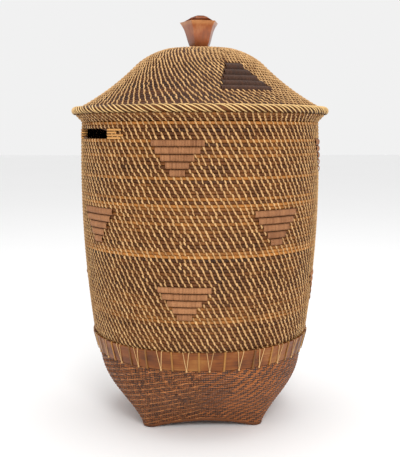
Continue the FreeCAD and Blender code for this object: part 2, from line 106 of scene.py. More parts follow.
class BasketColours(bpy.types.PropertyGroup):
    """Colours of the cane and the wood"""
    # The dark colours of split cane also set the painted shade where strips go under their
    # neighbours.
    straw: colour("Straw", "Pale split cane of the stitches", (0.68, 0.41, 0.175))
    straw_gold: colour("Straw, gold", "Strands of the rim's border", (0.76, 0.50, 0.21))
    # straw_dark is real stained stitches and also the base of the painted shade at stitch ends.
    straw_dark: colour("Straw, stained", "Stitches where they are stained", (0.22, 0.085, 0.020))
    cane: colour("Cane", "Round cane of the wall", (0.135, 0.044, 0.009))
    cane_pale: colour("Cane, pale", "The palest courses of the wall", (0.44, 0.17, 0.035))
    cane_dark: colour("Cane, dark", "The darkest courses of the wall", (0.035, 0.011, 0.003))
    lid_cane: colour("Lid cane", "Round cane of the lid", (0.064, 0.021, 0.007))
    lid_cane_dark: colour("Lid cane, dark", "Its darkest courses", (0.020, 0.007, 0.003))
    wrap: colour("Motif wrapping", "Tan wrapping of the wall's motifs", (0.42, 0.19, 0.080))
    wrap_dark: colour("Motif wrapping, dark", "Its darkest strips", (0.19, 0.070, 0.026))
    dark_wrap: colour("Lid motif wrapping", "Dark wrapping on the lid", (0.080, 0.028, 0.011))
    dark_wrap_deep: colour("Lid motif, dark", "Its darkest strips", (0.028, 0.012, 0.006))
    hoop: colour("Hoop", "Flat cane band", (0.21, 0.058, 0.009))
    hoop_dark: colour("Hoop, stained", "Stains on the band", (0.060, 0.016, 0.005))
    strap: colour("Strap", "Amber straps of the lashings", (0.42, 0.19, 0.045))
    binding: colour("Slot binding", "Split cane round the ends of a slot", (0.76, 0.38, 0.11))
    binding_dark: colour("Slot binding, dark", "Its darkest strips", (0.26, 0.10, 0.03))
    foot: colour("Foot", "Plaited strips of the foot", (0.42, 0.135, 0.034))
    foot_pale: colour("Foot, pale", "Ribs of the foot", (0.56, 0.22, 0.07))
    # foot_dark also sets the painted shade of the plaiting seen between the foot's strips.
    foot_dark: colour("Foot, dark", "Their darkest strips", (0.042, 0.012, 0.004))
    wood: colour("Knob wood", "Carved hardwood", (0.33, 0.082, 0.016))
    # wood_dark is the grain and also darkens the knob towards its foot.
    wood_dark: colour("Knob wood, dark", "Its grain and hollows", (0.050, 0.014, 0.006))
    wood_pale: colour("Knob wood, worn", "Where hands have worn it", (0.60, 0.26, 0.095))


def sizes():
    """The scene's sizes, as set in the panel."""
    return bpy.context.scene.basket_sizes


def colours():
    """The scene's colours, as set in the panel."""
    return bpy.context.scene.basket_colours


# ---- reading the frame ------------------------------------------------------------------------

def tree_of(node):
    """Search tree of a node's faces."""
    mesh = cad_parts[node].data
    return BVHTree.FromPolygons([v.co for v in mesh.vertices],
                                [p.vertices for p in mesh.polygons])


def away(azimuth):
    """Level direction at an azimuth, counted from the front towards the right."""
    return Vector((math.sin(azimuth), -math.cos(azimuth), 0))


def short_way(turn):
    """The same turn taken the short way round: between half a turn back and half a turn on."""
    return (turn + math.pi) % TURN - math.pi


def round_axis(radius, azimuth, height):
    """Points given by distance from the axis, azimuth and height, as x, y and z."""
    return np.stack([radius * np.sin(azimuth), -radius * np.cos(azimuth), height], axis=-1)


def held(value):
    """A value held between 0 and 1."""
    return min(1.0, max(0.0, value))


def outside(tree, azimuth, height):
    """Distance from the axis to a node's outer face at a height, or None where it has none."""
    out = away(azimuth)
    hit = tree.ray_cast(out * CLEAR + Vector((0, 0, height)), -out)
    return None if hit[0] is None or hit[3] > CLEAR else CLEAR - hit[3]


def wall_profile():
    """Points (radius, height) up the outside of the wall and the collar."""
    wall, collar = tree_of("coiled_wall"), tree_of("rim_collar")
    low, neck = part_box("coiled_wall")[0][2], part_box("coiled_wall")[1][2]
    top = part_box("rim_collar")[1][2] - 0.005
    points = []
    for height in np.arange(low + 0.001, neck, 0.004):
        points.append((outside(wall, 0.0, height), height))
    for height in np.linspace(neck + 0.0005, top, 6):
        points.append((outside(collar, 0.0, height), height))
    return np.array(points)


def lid_profile():
    """Points (radius, height) up the outside of the lid, from its edge to its middle."""
    shell = tree_of("lid_shell")
    points = []
    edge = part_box("lid_shell")[1][0]
    for radius in np.arange(edge - 0.0006, 0.008, -0.003):
        hit = shell.ray_cast(Vector((radius, 0, 0.9)), Vector((0, 0, -1)))
        points.append((radius, hit[0].z))
    return np.array(points)


class Path:
    """A profile walked by its length, giving radius, height and outward normal."""

    def __init__(self, points):
        self.points = points
        steps = np.hypot(*np.diff(points, axis=0).T)
        self.along = np.concatenate([[0], np.cumsum(steps)])
        self.length = self.along[-1]

    def at(self, along):
        """Radius and height at a distance along the profile."""
        radius = np.interp(along, self.along, self.points[:, 0])
        height = np.interp(along, self.along, self.points[:, 1])
        return radius, height

    def at_height(self, height):
        """Distance along the profile at a height."""
        return float(np.interp(height, self.points[:, 1], self.along))

    def at_lid_height(self, height):
        """As at_height, for a lid, whose profile stops rising at the crown."""
        rising = int(np.argmax(self.points[:, 1])) + 1
        return float(np.interp(height, self.points[:rising, 1], self.along[:rising]))

    def direction(self, along, reach=0.003):
        """Unit step up the profile, smoothed over a short reach."""
        below, above = self.at(along - reach), self.at(along + reach)
        step = np.array(above) - np.array(below)
        return step / np.hypot(*step)

    def course(self, along):
        """Place of a course: radius, height, and the way up and the way out, each (level, up)."""
        up = self.direction(along)
        radius, height = self.at(along)
        return {"radius": float(radius), "height": float(height), "along": float(along),
                "up": up, "out": np.array([up[1], -up[0]])}


def split_evenly(edges, pitch):
    """Fills the stretches between fixed edges with courses of nearly one pitch."""
    marks = [edges[0]]
    for low, high in zip(edges, edges[1:]):
        count = max(1, round((high - low) / pitch))
        marks += [low + (high - low) * (k + 1) / count for k in range(count)]
    return marks


def wall_courses():
    """Middles of the wall's courses, lined up with the motifs and the hand slots."""
    path = Path(wall_profile())
    heights = [path.points[0, 1] + 0.001]
    for tier in ("lower", "middle", "upper"):
        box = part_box(f"motif_{tier}_1")
        heights += [box[0][2] - 0.0003, box[1][2] + 0.0003]
    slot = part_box("slot_binding_left_front")
    heights += [slot[1][2], path.points[-1, 1] + 0.002]
    edges = [path.at_height(height) for height in heights[:-1]] + [path.length]
    marks = split_evenly(edges, sizes().cane_pitch)
    return [dict(path.course((low + high) / 2), pitch=high - low)
            for low, high in zip(marks, marks[1:])]


def lid_courses():
    """Middles of the lid's courses, from its edge towards the knob."""
    path = Path(lid_profile())
    marks = split_evenly([0.0, path.length - 0.012], sizes().lid_pitch)
    return [dict(path.course((low + high) / 2), pitch=high - low)
            for low, high in zip(marks, marks[1:])]


def bands_of(node):
    """Bands of a wrapped motif, top first: heights, and azimuths of their two ends."""
    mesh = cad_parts[node].data
    points = np.array([v.co for v in mesh.vertices])
    _, label = np.unique(points.round(6), axis=0, return_inverse=True)
    label = label.reshape(-1)
    edges = np.array([edge.vertices for edge in mesh.edges])
    while True:
        before = label.copy()
        shared = np.minimum(label[edges[:, 0]], label[edges[:, 1]])
        np.minimum.at(label, edges.reshape(-1), np.repeat(shared, 2))
        _, same = np.unique(points.round(6), axis=0, return_inverse=True)
        lowest = np.full(len(points), len(points))
        np.minimum.at(lowest, same.reshape(-1), label)
        label = lowest[same.reshape(-1)]
        if (label == before).all():
            break
    centre = np.arctan2(points[:, 0].mean(), -points[:, 1].mean())
    bands = []
    for solid in set(label):
        part = points[label == solid]
        turn = np.arctan2(part[:, 0], -part[:, 1]) - centre
        turn = centre + (turn + math.pi) % TURN - math.pi
        bands.append({"low": part[:, 2].min(), "high": part[:, 2].max(),
                      "start": turn.min(), "end": turn.max()})
    return sorted(bands, key=lambda band: -band["high"])


# ---- modelling --------------------------------------------------------------------------------

def start_fresh():
    """Object mode with nothing selected, so that an operator acts on the new piece alone."""
    if bpy.context.object and bpy.context.object.mode != "OBJECT":
        bpy.ops.object.mode_set(mode="OBJECT")
    bpy.ops.object.select_all(action="DESELECT")


def activate(piece):
    """Selects one piece alone and makes it the active one."""
    start_fresh()
    piece.select_set(True)
    bpy.context.view_layer.objects.active = piece


def settle(piece):
    """Moves the object's place, turn and scale into its mesh."""
    activate(piece)
    bpy.ops.object.transform_apply(location=True, rotation=True, scale=True)


def join(pieces, name):
    """Makes one named piece of several."""
    start_fresh()
    for piece in pieces:
        piece.select_set(True)
    bpy.context.view_layer.objects.active = pieces[0]
    bpy.ops.object.join()
    whole = bpy.context.object
    whole.name = name
    whole.data.name = name
    return whole


def tidy_mesh(piece):
    """Merges doubles, closes holes and points every face outwards."""
    activate(piece)
    bpy.ops.object.mode_set(mode="EDIT")
    bpy.ops.mesh.select_all(action="SELECT")
    bpy.ops.mesh.remove_doubles(threshold=1e-6)
    bpy.ops.mesh.fill_holes(sides=0)
    bpy.ops.mesh.normals_make_consistent(inside=False)
    bpy.ops.object.mode_set(mode="OBJECT")


def smooth(piece, angle=None):
    """Shades a piece smooth, or only where its faces meet under an angle in degrees."""
    activate(piece)
    if angle is None:
        bpy.ops.object.shade_smooth()
    else:
        bpy.ops.object.shade_smooth_by_angle(angle=math.radians(angle))


def strip_over_cane(name, width, thickness, radius, spread, steps=5):
    """A flat strip bent over a cane that runs along X: its outline spun about that cane."""
    start_fresh()
    bpy.ops.mesh.primitive_circle_add(vertices=6, radius=0.5, fill_type="NGON")
    strip = bpy.context.object
    strip.name = name
    bpy.ops.object.mode_set(mode="EDIT")
    bpy.ops.mesh.select_all(action="SELECT")
    bpy.ops.transform.resize(value=(width, thickness * 1.15, 1))
    bpy.ops.transform.translate(value=(0, radius + thickness / 2, 0))
    bpy.ops.mesh.spin(steps=steps, angle=spread, center=(0, 0, 0), axis=(1, 0, 0))
    bpy.ops.object.mode_set(mode="OBJECT")
    middle = np.array([v.co for v in strip.data.vertices]).mean(axis=0)
    strip.rotation_euler.x = -math.atan2(middle[2], middle[1])
    settle(strip)
    tidy_mesh(strip)
    return strip


def straight_strip(name, long, width, thickness, cuts):
    """A straight strip along X, divided along its length and rounded across."""
    start_fresh()
    bpy.ops.mesh.primitive_cylinder_add(vertices=6, radius=0.5, depth=1,
                                        rotation=(0, math.pi / 2, 0))
    strip = bpy.context.object
    strip.name = name
    settle(strip)
    bpy.ops.object.mode_set(mode="EDIT")
    bpy.ops.mesh.select_all(action="SELECT")
    bpy.ops.transform.resize(value=(long, thickness, width))
    for cut in range(1, cuts):
        bpy.ops.mesh.select_all(action="SELECT")
        bpy.ops.mesh.bisect(plane_co=(long * (cut / cuts - 0.5), 0, 0), plane_no=(1, 0, 0))
    bpy.ops.object.mode_set(mode="OBJECT")
    tidy_mesh(strip)
    return strip


def mesh_parts(template):
    """Corners and faces of a template as arrays."""
    mesh = template.data
    points = np.empty(len(mesh.vertices) * 3)
    mesh.vertices.foreach_get("co", points)
    loops = np.empty(len(mesh.loops), dtype=np.int32)
    mesh.loops.foreach_get("vertex_index", loops)
    starts = np.empty(len(mesh.polygons), dtype=np.int32)
    mesh.polygons.foreach_get("loop_start", starts)
    return points.reshape(-1, 3), loops, starts


def copies(name, template, points, tones, tuck=None):
    """One mesh of many copies of a template.

    points holds each copy's corners, tones one number for each copy, and tuck one for each
    corner of the template, 1 where the strip goes under its neighbours."""
    _, loops, starts = mesh_parts(template)
    count, corners = points.shape[:2]
    mesh = bpy.data.meshes.new(name)
    mesh.vertices.add(count * corners)
    mesh.vertices.foreach_set("co", points.reshape(-1).astype(np.float32))
    shift = np.arange(count, dtype=np.int32)[:, None]
    mesh.loops.add(count * len(loops))
    mesh.loops.foreach_set("vertex_index", (loops[None] + shift * corners).reshape(-1))
    mesh.polygons.add(count * len(starts))
    mesh.polygons.foreach_set("loop_start", (starts[None] + shift * len(loops)).reshape(-1))
    mesh.update(calc_edges=True)
    mesh.validate()
    mark(mesh, "tone", np.repeat(np.asarray(tones), corners))
    if tuck is not None:
        mark(mesh, "tuck", np.tile(tuck, count))
    mesh.polygons.foreach_set("use_smooth", np.ones(len(mesh.polygons), dtype=bool))
    piece = bpy.data.objects.new(name, mesh)
    bpy.context.collection.objects.link(piece)
    return piece


def mark(mesh, name, values):
    """Stores one number for each corner of a mesh."""
    layer = mesh.attributes.get(name) or mesh.attributes.new(name, "FLOAT", "POINT")
    layer.data.foreach_set("value", np.asarray(values, dtype=np.float32))


def discard(*pieces):
    """Removes pieces that were only patterns for others, with their meshes."""
    for piece in pieces:
        mesh = piece.data
        bpy.data.objects.remove(piece)
        bpy.data.meshes.remove(mesh)


def deliver(piece, body, slot, material, *nodes):
    """Gives a finished piece its finish and its body, and hides the nodes it stands for."""
    piece.data.materials.clear()
    piece.data.materials.append(material)
    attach(piece, body)
    if nodes:
        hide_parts(*nodes)


# ---- materials --------------------------------------------------------------------------------

class Nodes:
    """Short hand for wiring a material."""

    def __init__(self, name, roughness=0.5, coat=0.0, specular=0.5):
        self.material = bpy.data.materials.new(name)
        self.material.use_nodes = True
        self.tree = self.material.node_tree
        self.shader = self.tree.nodes["Principled BSDF"]
        self.shader.inputs["Roughness"].default_value = roughness
        self.shader.inputs["Coat Weight"].default_value = coat
        self.shader.inputs["Coat Roughness"].default_value = 0.35
        self.shader.inputs["Specular IOR Level"].default_value = specular

    def new(self, kind):
        """Adds a node of a kind."""
        return self.tree.nodes.new(kind)

    def feed(self, node, name, value):
        """Gives an input, by its name or number, a link or a plain value."""
        if isinstance(value, bpy.types.NodeSocket):
            self.tree.links.new(value, node.inputs[name])
        else:
            node.inputs[name].default_value = value

    def attribute(self, name):
        """A number stored on the mesh."""
        node = self.new("ShaderNodeAttribute")
        node.attribute_name = name
        return node.outputs["Fac"]

    def place(self, scale=(1, 1, 1), uv=False):
        """A point's place on the object or in its texture space, scaled."""
        source = self.new("ShaderNodeTexCoord").outputs["UV" if uv else "Object"]
        node = self.new("ShaderNodeMapping")
        self.feed(node, "Vector", source)
        node.inputs["Scale"].default_value = scale
        return node.outputs["Vector"]

    def noise(self, vector, scale, detail=3.0, distortion=0.0):
        """A noise between 0 and 1."""
        node = self.new("ShaderNodeTexNoise")
        self.feed(node, "Vector", vector)
        node.inputs["Scale"].default_value = scale
        node.inputs["Detail"].default_value = detail
        node.inputs["Roughness"].default_value = 0.55
        node.inputs["Distortion"].default_value = distortion
        return node.outputs["Fac"]

    def maths(self, kind, first, second=0.0, clamp=False):
        """One arithmetic step on two values."""
        node = self.new("ShaderNodeMath")
        node.operation = kind
        node.use_clamp = clamp
        self.feed(node, 0, first)
        self.feed(node, 1, second)
        return node.outputs[0]

    def vary(self, tone, pattern, amount):
        """Adds a pattern to a tone, as much above as below it."""
        return self.maths("ADD", tone, self.maths("MULTIPLY", self.maths(
            "SUBTRACT", pattern, 0.5), amount))

    def spread(self, pattern, amount, least):
        """A value that follows a pattern upwards from its least."""
        return self.maths("ADD", self.maths("MULTIPLY", pattern, amount), least)

    def ramp(self, value, *stops):
        node = self.new("ShaderNodeValToRGB")
        self.feed(node, "Fac", value)
        elements = node.color_ramp.elements
        while len(elements) < len(stops):
            elements.new(0.5)
        for element, (place, shade) in zip(elements, stops):
            element.position = place
            element.color = (*shade, 1)
        return node.outputs["Color"]

    def mix(self, factor, first, second):
        """Between two colours; the second may be a plain one."""
        node = self.new("ShaderNodeMix")
        node.data_type = "RGBA"
        for name, value in (("Factor_Float", factor), ("A_Color", first), ("B_Color", second)):
            socket = next(s for s in node.inputs if s.identifier == name)
            if isinstance(value, bpy.types.NodeSocket):
                self.tree.links.new(value, socket)
            else:
                socket.default_value = value if name == "Factor_Float" else (*value, 1)
        return next(s for s in node.outputs if s.identifier == "Result_Color")

    def bump(self, height, distance, strength=0.6):
        node = self.new("ShaderNodeBump")
        self.feed(node, "Height", height)
        node.inputs["Strength"].default_value = strength
        node.inputs["Distance"].default_value = distance
        self.tree.links.new(node.outputs["Normal"], self.shader.inputs["Normal"])

    def finish(self, colour_, roughness=None):
        self.tree.links.new(colour_, self.shader.inputs["Base Color"])
        if roughness is not None:
            self.tree.links.new(roughness, self.shader.inputs["Roughness"])
        return self.material


def strip_finish(name, dark, pale, tuck_shade=0.35):
    """Split cane: each strip has its own tone and fine fibres, and darkens towards the ends that
    go under its neighbours, as painted shade with some staining.
    """
    nodes = Nodes(name, specular=0.25)
    blotch = nodes.noise(nodes.place(), 60.0)
    fibre = nodes.noise(nodes.place(scale=(1, 1, 0.35)), 900.0, detail=2.0)
    tone = nodes.vary(nodes.vary(nodes.attribute("tone"), blotch, 0.55), fibre, 0.35)
    base = nodes.ramp(tone, (0.0, dark), (1.0, pale))
    # painted shade: where the strip goes under the neighbouring canes, its colour darkens towards
    # a share of its darkest colour
    shade = tuple(channel * tuck_shade for channel in dark)
    base = nodes.mix(nodes.attribute("tuck"), base, shade)
    nodes.bump(fibre, 0.0004)
    return nodes.finish(base, nodes.spread(fibre, 0.25, 0.40))


def cane_finish(name, dark, middle, pale):
    """Round cane: a tone for each course, long streaks round the basket, and dull patches."""
    nodes = Nodes(name, specular=0.22)
    streak = nodes.noise(nodes.place(scale=(14, 2.5, 1), uv=True), 6.0, detail=4.0)
    blotch = nodes.noise(nodes.place(), 34.0, detail=3.0)
    tone = nodes.vary(nodes.vary(nodes.attribute("tone"), blotch, 0.9), streak, 0.6)
    base = nodes.ramp(tone, (0.0, dark), (0.5, middle), (1.0, pale))
    fine = nodes.noise(nodes.place(), 700.0, detail=2.0)
    nodes.bump(fine, 0.0003)
    return nodes.finish(base, nodes.spread(fine, 0.3, 0.36))


# ---- canes ------------------------------------------------------------------------------------

def cane_ring(radius, height, thickness, around=128, across=8):
    """One course of round cane, lying level round the basket."""
    bpy.ops.mesh.primitive_torus_add(
        location=(0, 0, height), major_radius=radius, minor_radius=thickness,
        major_segments=around, minor_segments=across)
    return bpy.context.object


def canes(name, courses, tones, gauge):
    """Courses of cane as one piece, each with its own tone."""
    rings = []
    start_fresh()
    for course in courses:
        thick = course["pitch"] * gauge / 2
        centre = np.array([course["radius"], course["height"]]) - course["out"] * (
            thick + sizes().stitch_lift * 0.4)
        course["thick"] = course["rise"] = thick
        course["centre"] = centre
        rings.append(cane_ring(centre[0], centre[1], thick))
    counts = [len(ring.data.vertices) for ring in rings]
    piece = join(rings, name)
    mark(piece.data, "tone", np.repeat(tones, counts))
    settle(piece)
    smooth(piece)
    return piece


def drop_faces(piece, doomed):
    """Deletes the faces that a test on their middles picks, and closes the cut ends."""
    activate(piece)
    mesh = piece.data
    middles = np.empty(len(mesh.polygons) * 3)
    mesh.polygons.foreach_get("center", middles)
    chosen = doomed(middles.reshape(-1, 3))
    mesh.vertices.foreach_set("select", np.zeros(len(mesh.vertices), dtype=bool))
    mesh.edges.foreach_set("select", np.zeros(len(mesh.edges), dtype=bool))
    mesh.polygons.foreach_set("select", chosen)
    bpy.ops.object.mode_set(mode="EDIT")
    bpy.ops.mesh.select_mode(type="FACE")
    bpy.ops.mesh.delete(type="FACE")
    bpy.ops.mesh.select_mode(type="VERT")
    bpy.ops.mesh.select_all(action="SELECT")
    bpy.ops.mesh.fill_holes(sides=0)
    bpy.ops.object.mode_set(mode="OBJECT")


# ---- stitches ---------------------------------------------------------------------------------

REFERENCE_CANE = 0.003
STITCH_SPREAD = math.radians(128)


def stitch_places(courses, count, lean, rng, keep):
    """Where each stitch sits: its course and its azimuth, with the small errors of the hand."""
    step = TURN / count
    places = []
    drift = 0.0
    for number, course in enumerate(courses):
        drift -= lean * course["pitch"] / course["radius"]
        for k in range(count):
            azimuth = drift + k * step + rng.gauss(0, 0.08) * step
            if keep(azimuth, course["height"]):
                places.append((number, azimuth))
    return places


def lay_strips(name, template, courses, places, lean, rng, tone_of, inside=False, loose=1.0,
               hem=0.50):
    """Copies a strip over the canes at the given places, each following the cane's curve."""
    corners, _, _ = mesh_parts(template)
    number = np.array([place[0] for place in places])
    azimuth = np.array([place[1] for place in places])[:, None]
    wobble = np.array([rng.gauss(0, loose) for _ in range(len(places) * 2)]).reshape(-1, 2)
    across, out, up = corners[:, 0][None], corners[:, 1][None], corners[:, 2][None]
    around = np.arctan2(up, out)

    def of(key, part=None):
        values = np.array([course[key] if part is None else course[key][part]
                           for course in courses])
        return values[number][:, None]

    wide, tall = of("thick") / REFERENCE_CANE, of("rise") / REFERENCE_CANE
    flip = -1.0 if inside else 1.0
    out, up = out * wide * flip, up * tall * flip
    slant = lean * (1 + 0.12 * wobble[:, :1])
    shift = across * (1 + 0.14 * wobble[:, 1:]) - flip * slant * around * of("rise")
    radius = of("centre", 0) + of("out", 0) * out + of("up", 0) * up
    height = of("centre", 1) + of("out", 1) * out + of("up", 1) * up
    turn = azimuth + shift / of("radius")
    points = round_axis(radius, turn, height)
    tones = [tone_of(courses[n], a) for n, a in places]
    # tuck is 1 towards a strip's ends, where it goes under the canes; strip_finish paints shade
    # there
    reach = np.abs(around[0]) / np.abs(around).max()
    return copies(name, template, points, tones, np.clip((reach - hem) / (1 - hem), 0, 1) ** 1.5)


def motif_test(prefixes):
    """A test for whether a place on the surface is free of wrapped motifs."""
    bands = [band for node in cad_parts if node.startswith(prefixes)
             for band in bands_of(node)]
    lows = np.array([band["low"] for band in bands])
    highs = np.array([band["high"] for band in bands])
    middles = np.array([(band["start"] + band["end"]) / 2 for band in bands])
    halves = np.array([(band["end"] - band["start"]) / 2 for band in bands])

    def free(azimuth, height):
        gap = np.abs(short_way(azimuth - middles))
        inside = (height > lows) & (height < highs) & (gap < halves + 0.006)
        return not inside.any()

    return free


def slot_spans():
    """Each hand slot: the azimuths of its two ends, and its heights."""
    spans = []
    for side in ("left", "right"):
        azimuths, low, high = [], 0, 0
        for end in ("front", "back"):
            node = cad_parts[f"slot_binding_{side}_{end}"]
            points = np.array([v.co for v in node.data.vertices])
            mean = np.arctan2(points[:, 0].mean(), -points[:, 1].mean())
            turn = short_way(np.arctan2(points[:, 0], -points[:, 1]) - mean)
            azimuths.append((mean + turn.min(), mean + turn.max()))
            low, high = points[:, 2].min(), points[:, 2].max()
        azimuths.sort()
        spans.append({"start": azimuths[0][1], "end": azimuths[1][0], "low": low, "high": high})
    return spans


def in_span(azimuth, start, end):
    """Whether an azimuth lies between two others."""
    middle, half = (start + end) / 2, (end - start) / 2
    return abs(short_way(azimuth - middle)) < half


# ---- surfaces that pieces follow --------------------------------------------------------------

class FootSurface:
    """Outside of the plaited foot, as a table of radii by azimuth and height."""

    def __init__(self):
        tree = tree_of("plaited_base")
        low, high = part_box("plaited_base")
        self.azimuths = np.linspace(-math.pi, math.pi, 361)
        self.heights = np.linspace(low[2] + 0.0006, high[2] - 0.0006, 60)
        self.radii = np.zeros((361, 60))
        for column, azimuth in enumerate(self.azimuths):
            out = away(azimuth)
            for row, height in enumerate(self.heights):
                hit = tree.ray_cast(out * CLEAR + Vector((0, 0, height)), -out, CLEAR - 0.01)
                if hit[0] is not None and hit[0].xy.length > 0.08:
                    self.radii[column, row] = hit[0].xy.length
        for row in range(58, -1, -1):
            gap = self.radii[:, row] == 0
            self.radii[gap, row] = self.radii[gap, row + 1]
        self.floors = np.array([self.floor(tree, azimuth) for azimuth in self.azimuths])

    @staticmethod
    def floor(tree, azimuth):
        """Height of the foot's lower edge: low at the corners, arched between them."""
        out = away(azimuth)
        for height in np.arange(0.0004, 0.02, 0.0004):
            hit = tree.ray_cast(out * CLEAR + Vector((0, 0, height)), -out, CLEAR * 0.8)
            if hit[0] is not None:
                return height
        return 0.02

    def radius(self, azimuth, height):
        """Distance from the axis, read between the entries of the table."""
        column = (np.asarray(azimuth) + math.pi) % TURN / TURN * 360
        row = np.clip((np.asarray(height) - self.heights[0])
                      / (self.heights[-1] - self.heights[0]) * 59, 0, 58.999)
        left, low = np.floor(column).astype(int) % 360, np.floor(row).astype(int)
        across, above = column - np.floor(column), row - low
        table = self.radii
        near = table[left, low] * (1 - above) + table[left, low + 1] * above
        far = table[left + 1, low] * (1 - above) + table[left + 1, low + 1] * above
        return near * (1 - across) + far * across

    def lower_edge(self, azimuth):
        """Height of the foot's lower edge at an azimuth."""
        turn = short_way(np.asarray(azimuth))
        return np.interp(turn, self.azimuths, self.floors)


def lay_floats(name, template, surface, places, tones):
    """Copies a strip over the foot at places (azimuth, height, tilt, length, width scale)."""
    corners, _, _ = mesh_parts(template)
    places = np.array(places)
    azimuth, height, tilt, long, wide = (places[:, k][:, None] for k in range(5))
    along, out, up = corners[:, 0][None] * long, corners[:, 1][None], corners[:, 2][None] * wide
    across = along * np.cos(tilt) - up * np.sin(tilt)
    rise = along * np.sin(tilt) + up * np.cos(tilt)
    turn = azimuth + across / surface.radius(azimuth, height)
    level = height + rise * 0.86
    radius = surface.radius(turn, level) + out
    points = round_axis(radius, turn, level)
    # tuck is 1 at the ends of a float, where it goes under the crossing strips; strip_finish
    # paints shade there
    ends = np.abs(corners[:, 0]) / np.abs(corners[:, 0]).max()
    return copies(name, template, points, tones, np.clip((ends - 0.6) / 0.4, 0, 1))


def bowed_strip(name, width, thickness, cuts=4, bow=0.5):
    """Flat strip one unit long whose two ends dip, as where it goes under its neighbours."""
    strip = straight_strip(name, 1.0, width, thickness, cuts)
    for vertex in strip.data.vertices:
        vertex.co.y -= bow * thickness * (2 * vertex.co.x) ** 4
    return strip


# ---- operators --------------------------------------------------------------------------------

PALE_COURSES = (0.003, 0.088, 0.120, 0.130, 0.205)  # how far below the neck each one lies


class BASKET_OT_wall(bpy.types.Operator):
    """Coiled canes of the wall and the collar, with the stitches that bind them"""
    bl_idname = "basket.wall"
    bl_label = "Coiled wall"

    def execute(self, context):
        rng = random.Random(SEED)
        paint = colours()
        courses = wall_courses()
        tones = [self.tone(course, rng) for course in courses]
        cane = cane_finish("wall_cane", paint.cane_dark, paint.cane, paint.cane_pale)
        spans = slot_spans()
        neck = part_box("rim_collar")[0][2]
        wall = [c for c in courses if c["height"] < neck]
        collar = [c for c in courses if c["height"] >= neck]
        piece = canes("wall_canes", wall, tones[:len(wall)], 1.05)
        drop_faces(piece, lambda middles: self.in_slot(middles, spans))
        deliver(piece, "basket", "coiled_cane", cane, "coiled_wall")
        piece = canes("collar_canes", collar, tones[len(wall):], 1.12)
        deliver(piece, "basket", "coiled_cane", cane, "rim_collar")
        self.stitches(courses, spans, rng)
        return {"FINISHED"}

    @staticmethod
    def tone(course, rng):
        """Most courses are brown, a few are pale, and the lowest are darkest."""
        tone = 0.42 + rng.gauss(0, 0.10) - 0.5 * max(0.0, 0.32 - course["height"])
        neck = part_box("rim_collar")[0][2]
        pale = [neck - below for below in PALE_COURSES]
        if min(abs(course["height"] - height) for height in pale) < 0.0028:
            tone += 0.45
        elif rng.random() < 0.10:
            tone += 0.22
        return min(max(tone, 0.05), 1.0)

    @staticmethod
    def in_slot(middles, spans):
        """Which of the given points lie in the opening of a hand slot."""
        azimuth = np.arctan2(middles[:, 0], -middles[:, 1])
        hit = np.zeros(len(middles), dtype=bool)
        for span in spans:
            middle, half = (span["start"] + span["end"]) / 2, (span["end"] - span["start"]) / 2
            near = np.abs(short_way(azimuth - middle)) < half + 0.02
            hit |= (near & (middles[:, 2] > span["low"] + 0.0012)
                    & (middles[:, 2] < span["high"] - 0.0004))
        return hit

    @staticmethod
    def stitches(courses, spans, rng):
        """Slanting stitches over the courses, outside and inside."""
        paint, size = colours(), sizes()
        straw = strip_finish("straw", paint.straw_dark, paint.straw)
        free = motif_test(("motif_upper", "motif_middle", "motif_lower"))

        def open_wall(azimuth, height):
            return not any(span["low"] < height < span["high"]
                           and in_span(azimuth, span["start"] - 0.05, span["end"] + 0.05)
                           for span in spans)

        def tone_of(course, azimuth):
            return held(rng.gauss(0.74 - 0.35 * max(0, 0.35 - course["height"]), 0.16))

        template = strip_over_cane("stitch", size.stitch_width, size.stitch_lift,
                                   REFERENCE_CANE, STITCH_SPREAD)
        places = stitch_places(courses, size.stitches, size.lean, rng,
                               lambda a, h: free(a, h) and open_wall(a, h))
        quarter = math.ceil(len(courses) / 4)
        for tier in range(4):
            chosen = [p for p in places if tier * quarter <= p[0] < (tier + 1) * quarter]
            piece = lay_strips(f"wall_stitches_{tier + 1}", template, courses, chosen,
                               size.lean * 0.75, rng, tone_of)
            deliver(piece, "basket", "pale_split_cane", straw)
        discard(template)
        plain = strip_over_cane("inner_stitch", size.stitch_width, size.stitch_lift * 0.7,
                                REFERENCE_CANE, STITCH_SPREAD, steps=3)
        places = stitch_places(courses, size.stitches // 2, size.lean, rng,
                               lambda a, h: open_wall(a, h))
        for tier in range(2):
            chosen = [p for p in places if (p[0] >= 2 * quarter) == bool(tier)]
            piece = lay_strips(f"inner_stitches_{tier + 1}", plain, courses, chosen,
                               size.lean * 0.75, rng, tone_of, inside=True)
            deliver(piece, "basket", "pale_split_cane", straw)
        discard(plain)


class BASKET_OT_rim(bpy.types.Operator):
    """The thick top course and the long strands that border it"""
    bl_idname = "basket.rim"
    bl_label = "Rim"

    def execute(self, context):
        rng = random.Random(SEED + 2)
        paint, size = colours(), sizes()
        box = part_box("rim_edge_coil")
        coil = (box[1][2] - box[0][2]) / 2
        ring = box[1][0] - coil
        height = box[0][2] + coil
        start_fresh()
        core = cane_ring(ring, height, coil - 0.0006, 192, 12)
        core.name = "rim_core"
        mark(core.data, "tone", [0.35] * len(core.data.vertices))
        settle(core)
        smooth(core)
        cane = cane_finish("rim_cane", paint.cane_dark, paint.cane, paint.cane_pale)
        deliver(core, "basket", "rim_cane", cane, "rim_edge_coil")
        course = {"radius": ring, "height": height, "thick": coil, "rise": coil, "pitch": coil,
                  "up": np.array([-0.55, 0.83]), "out": np.array([0.83, 0.55]),
                  "centre": np.array([ring, height])}
        strand = strip_over_cane("strand", size.border_width, size.stitch_lift * 0.9,
                                 REFERENCE_CANE, math.radians(210), steps=10)
        count = 128
        places = [(0, (k + rng.gauss(0, 0.10)) * TURN / count) for k in range(count)]
        piece = lay_strips("rim_border", strand, [course], places, 1.9, rng,
                           lambda c, a: held(rng.gauss(0.85, 0.13)), loose=0.6)
        straw = strip_finish("rim_straw", paint.straw_dark, paint.straw_gold)
        deliver(piece, "basket", "rim_cane", straw)
        discard(strand)
        return {"FINISHED"}


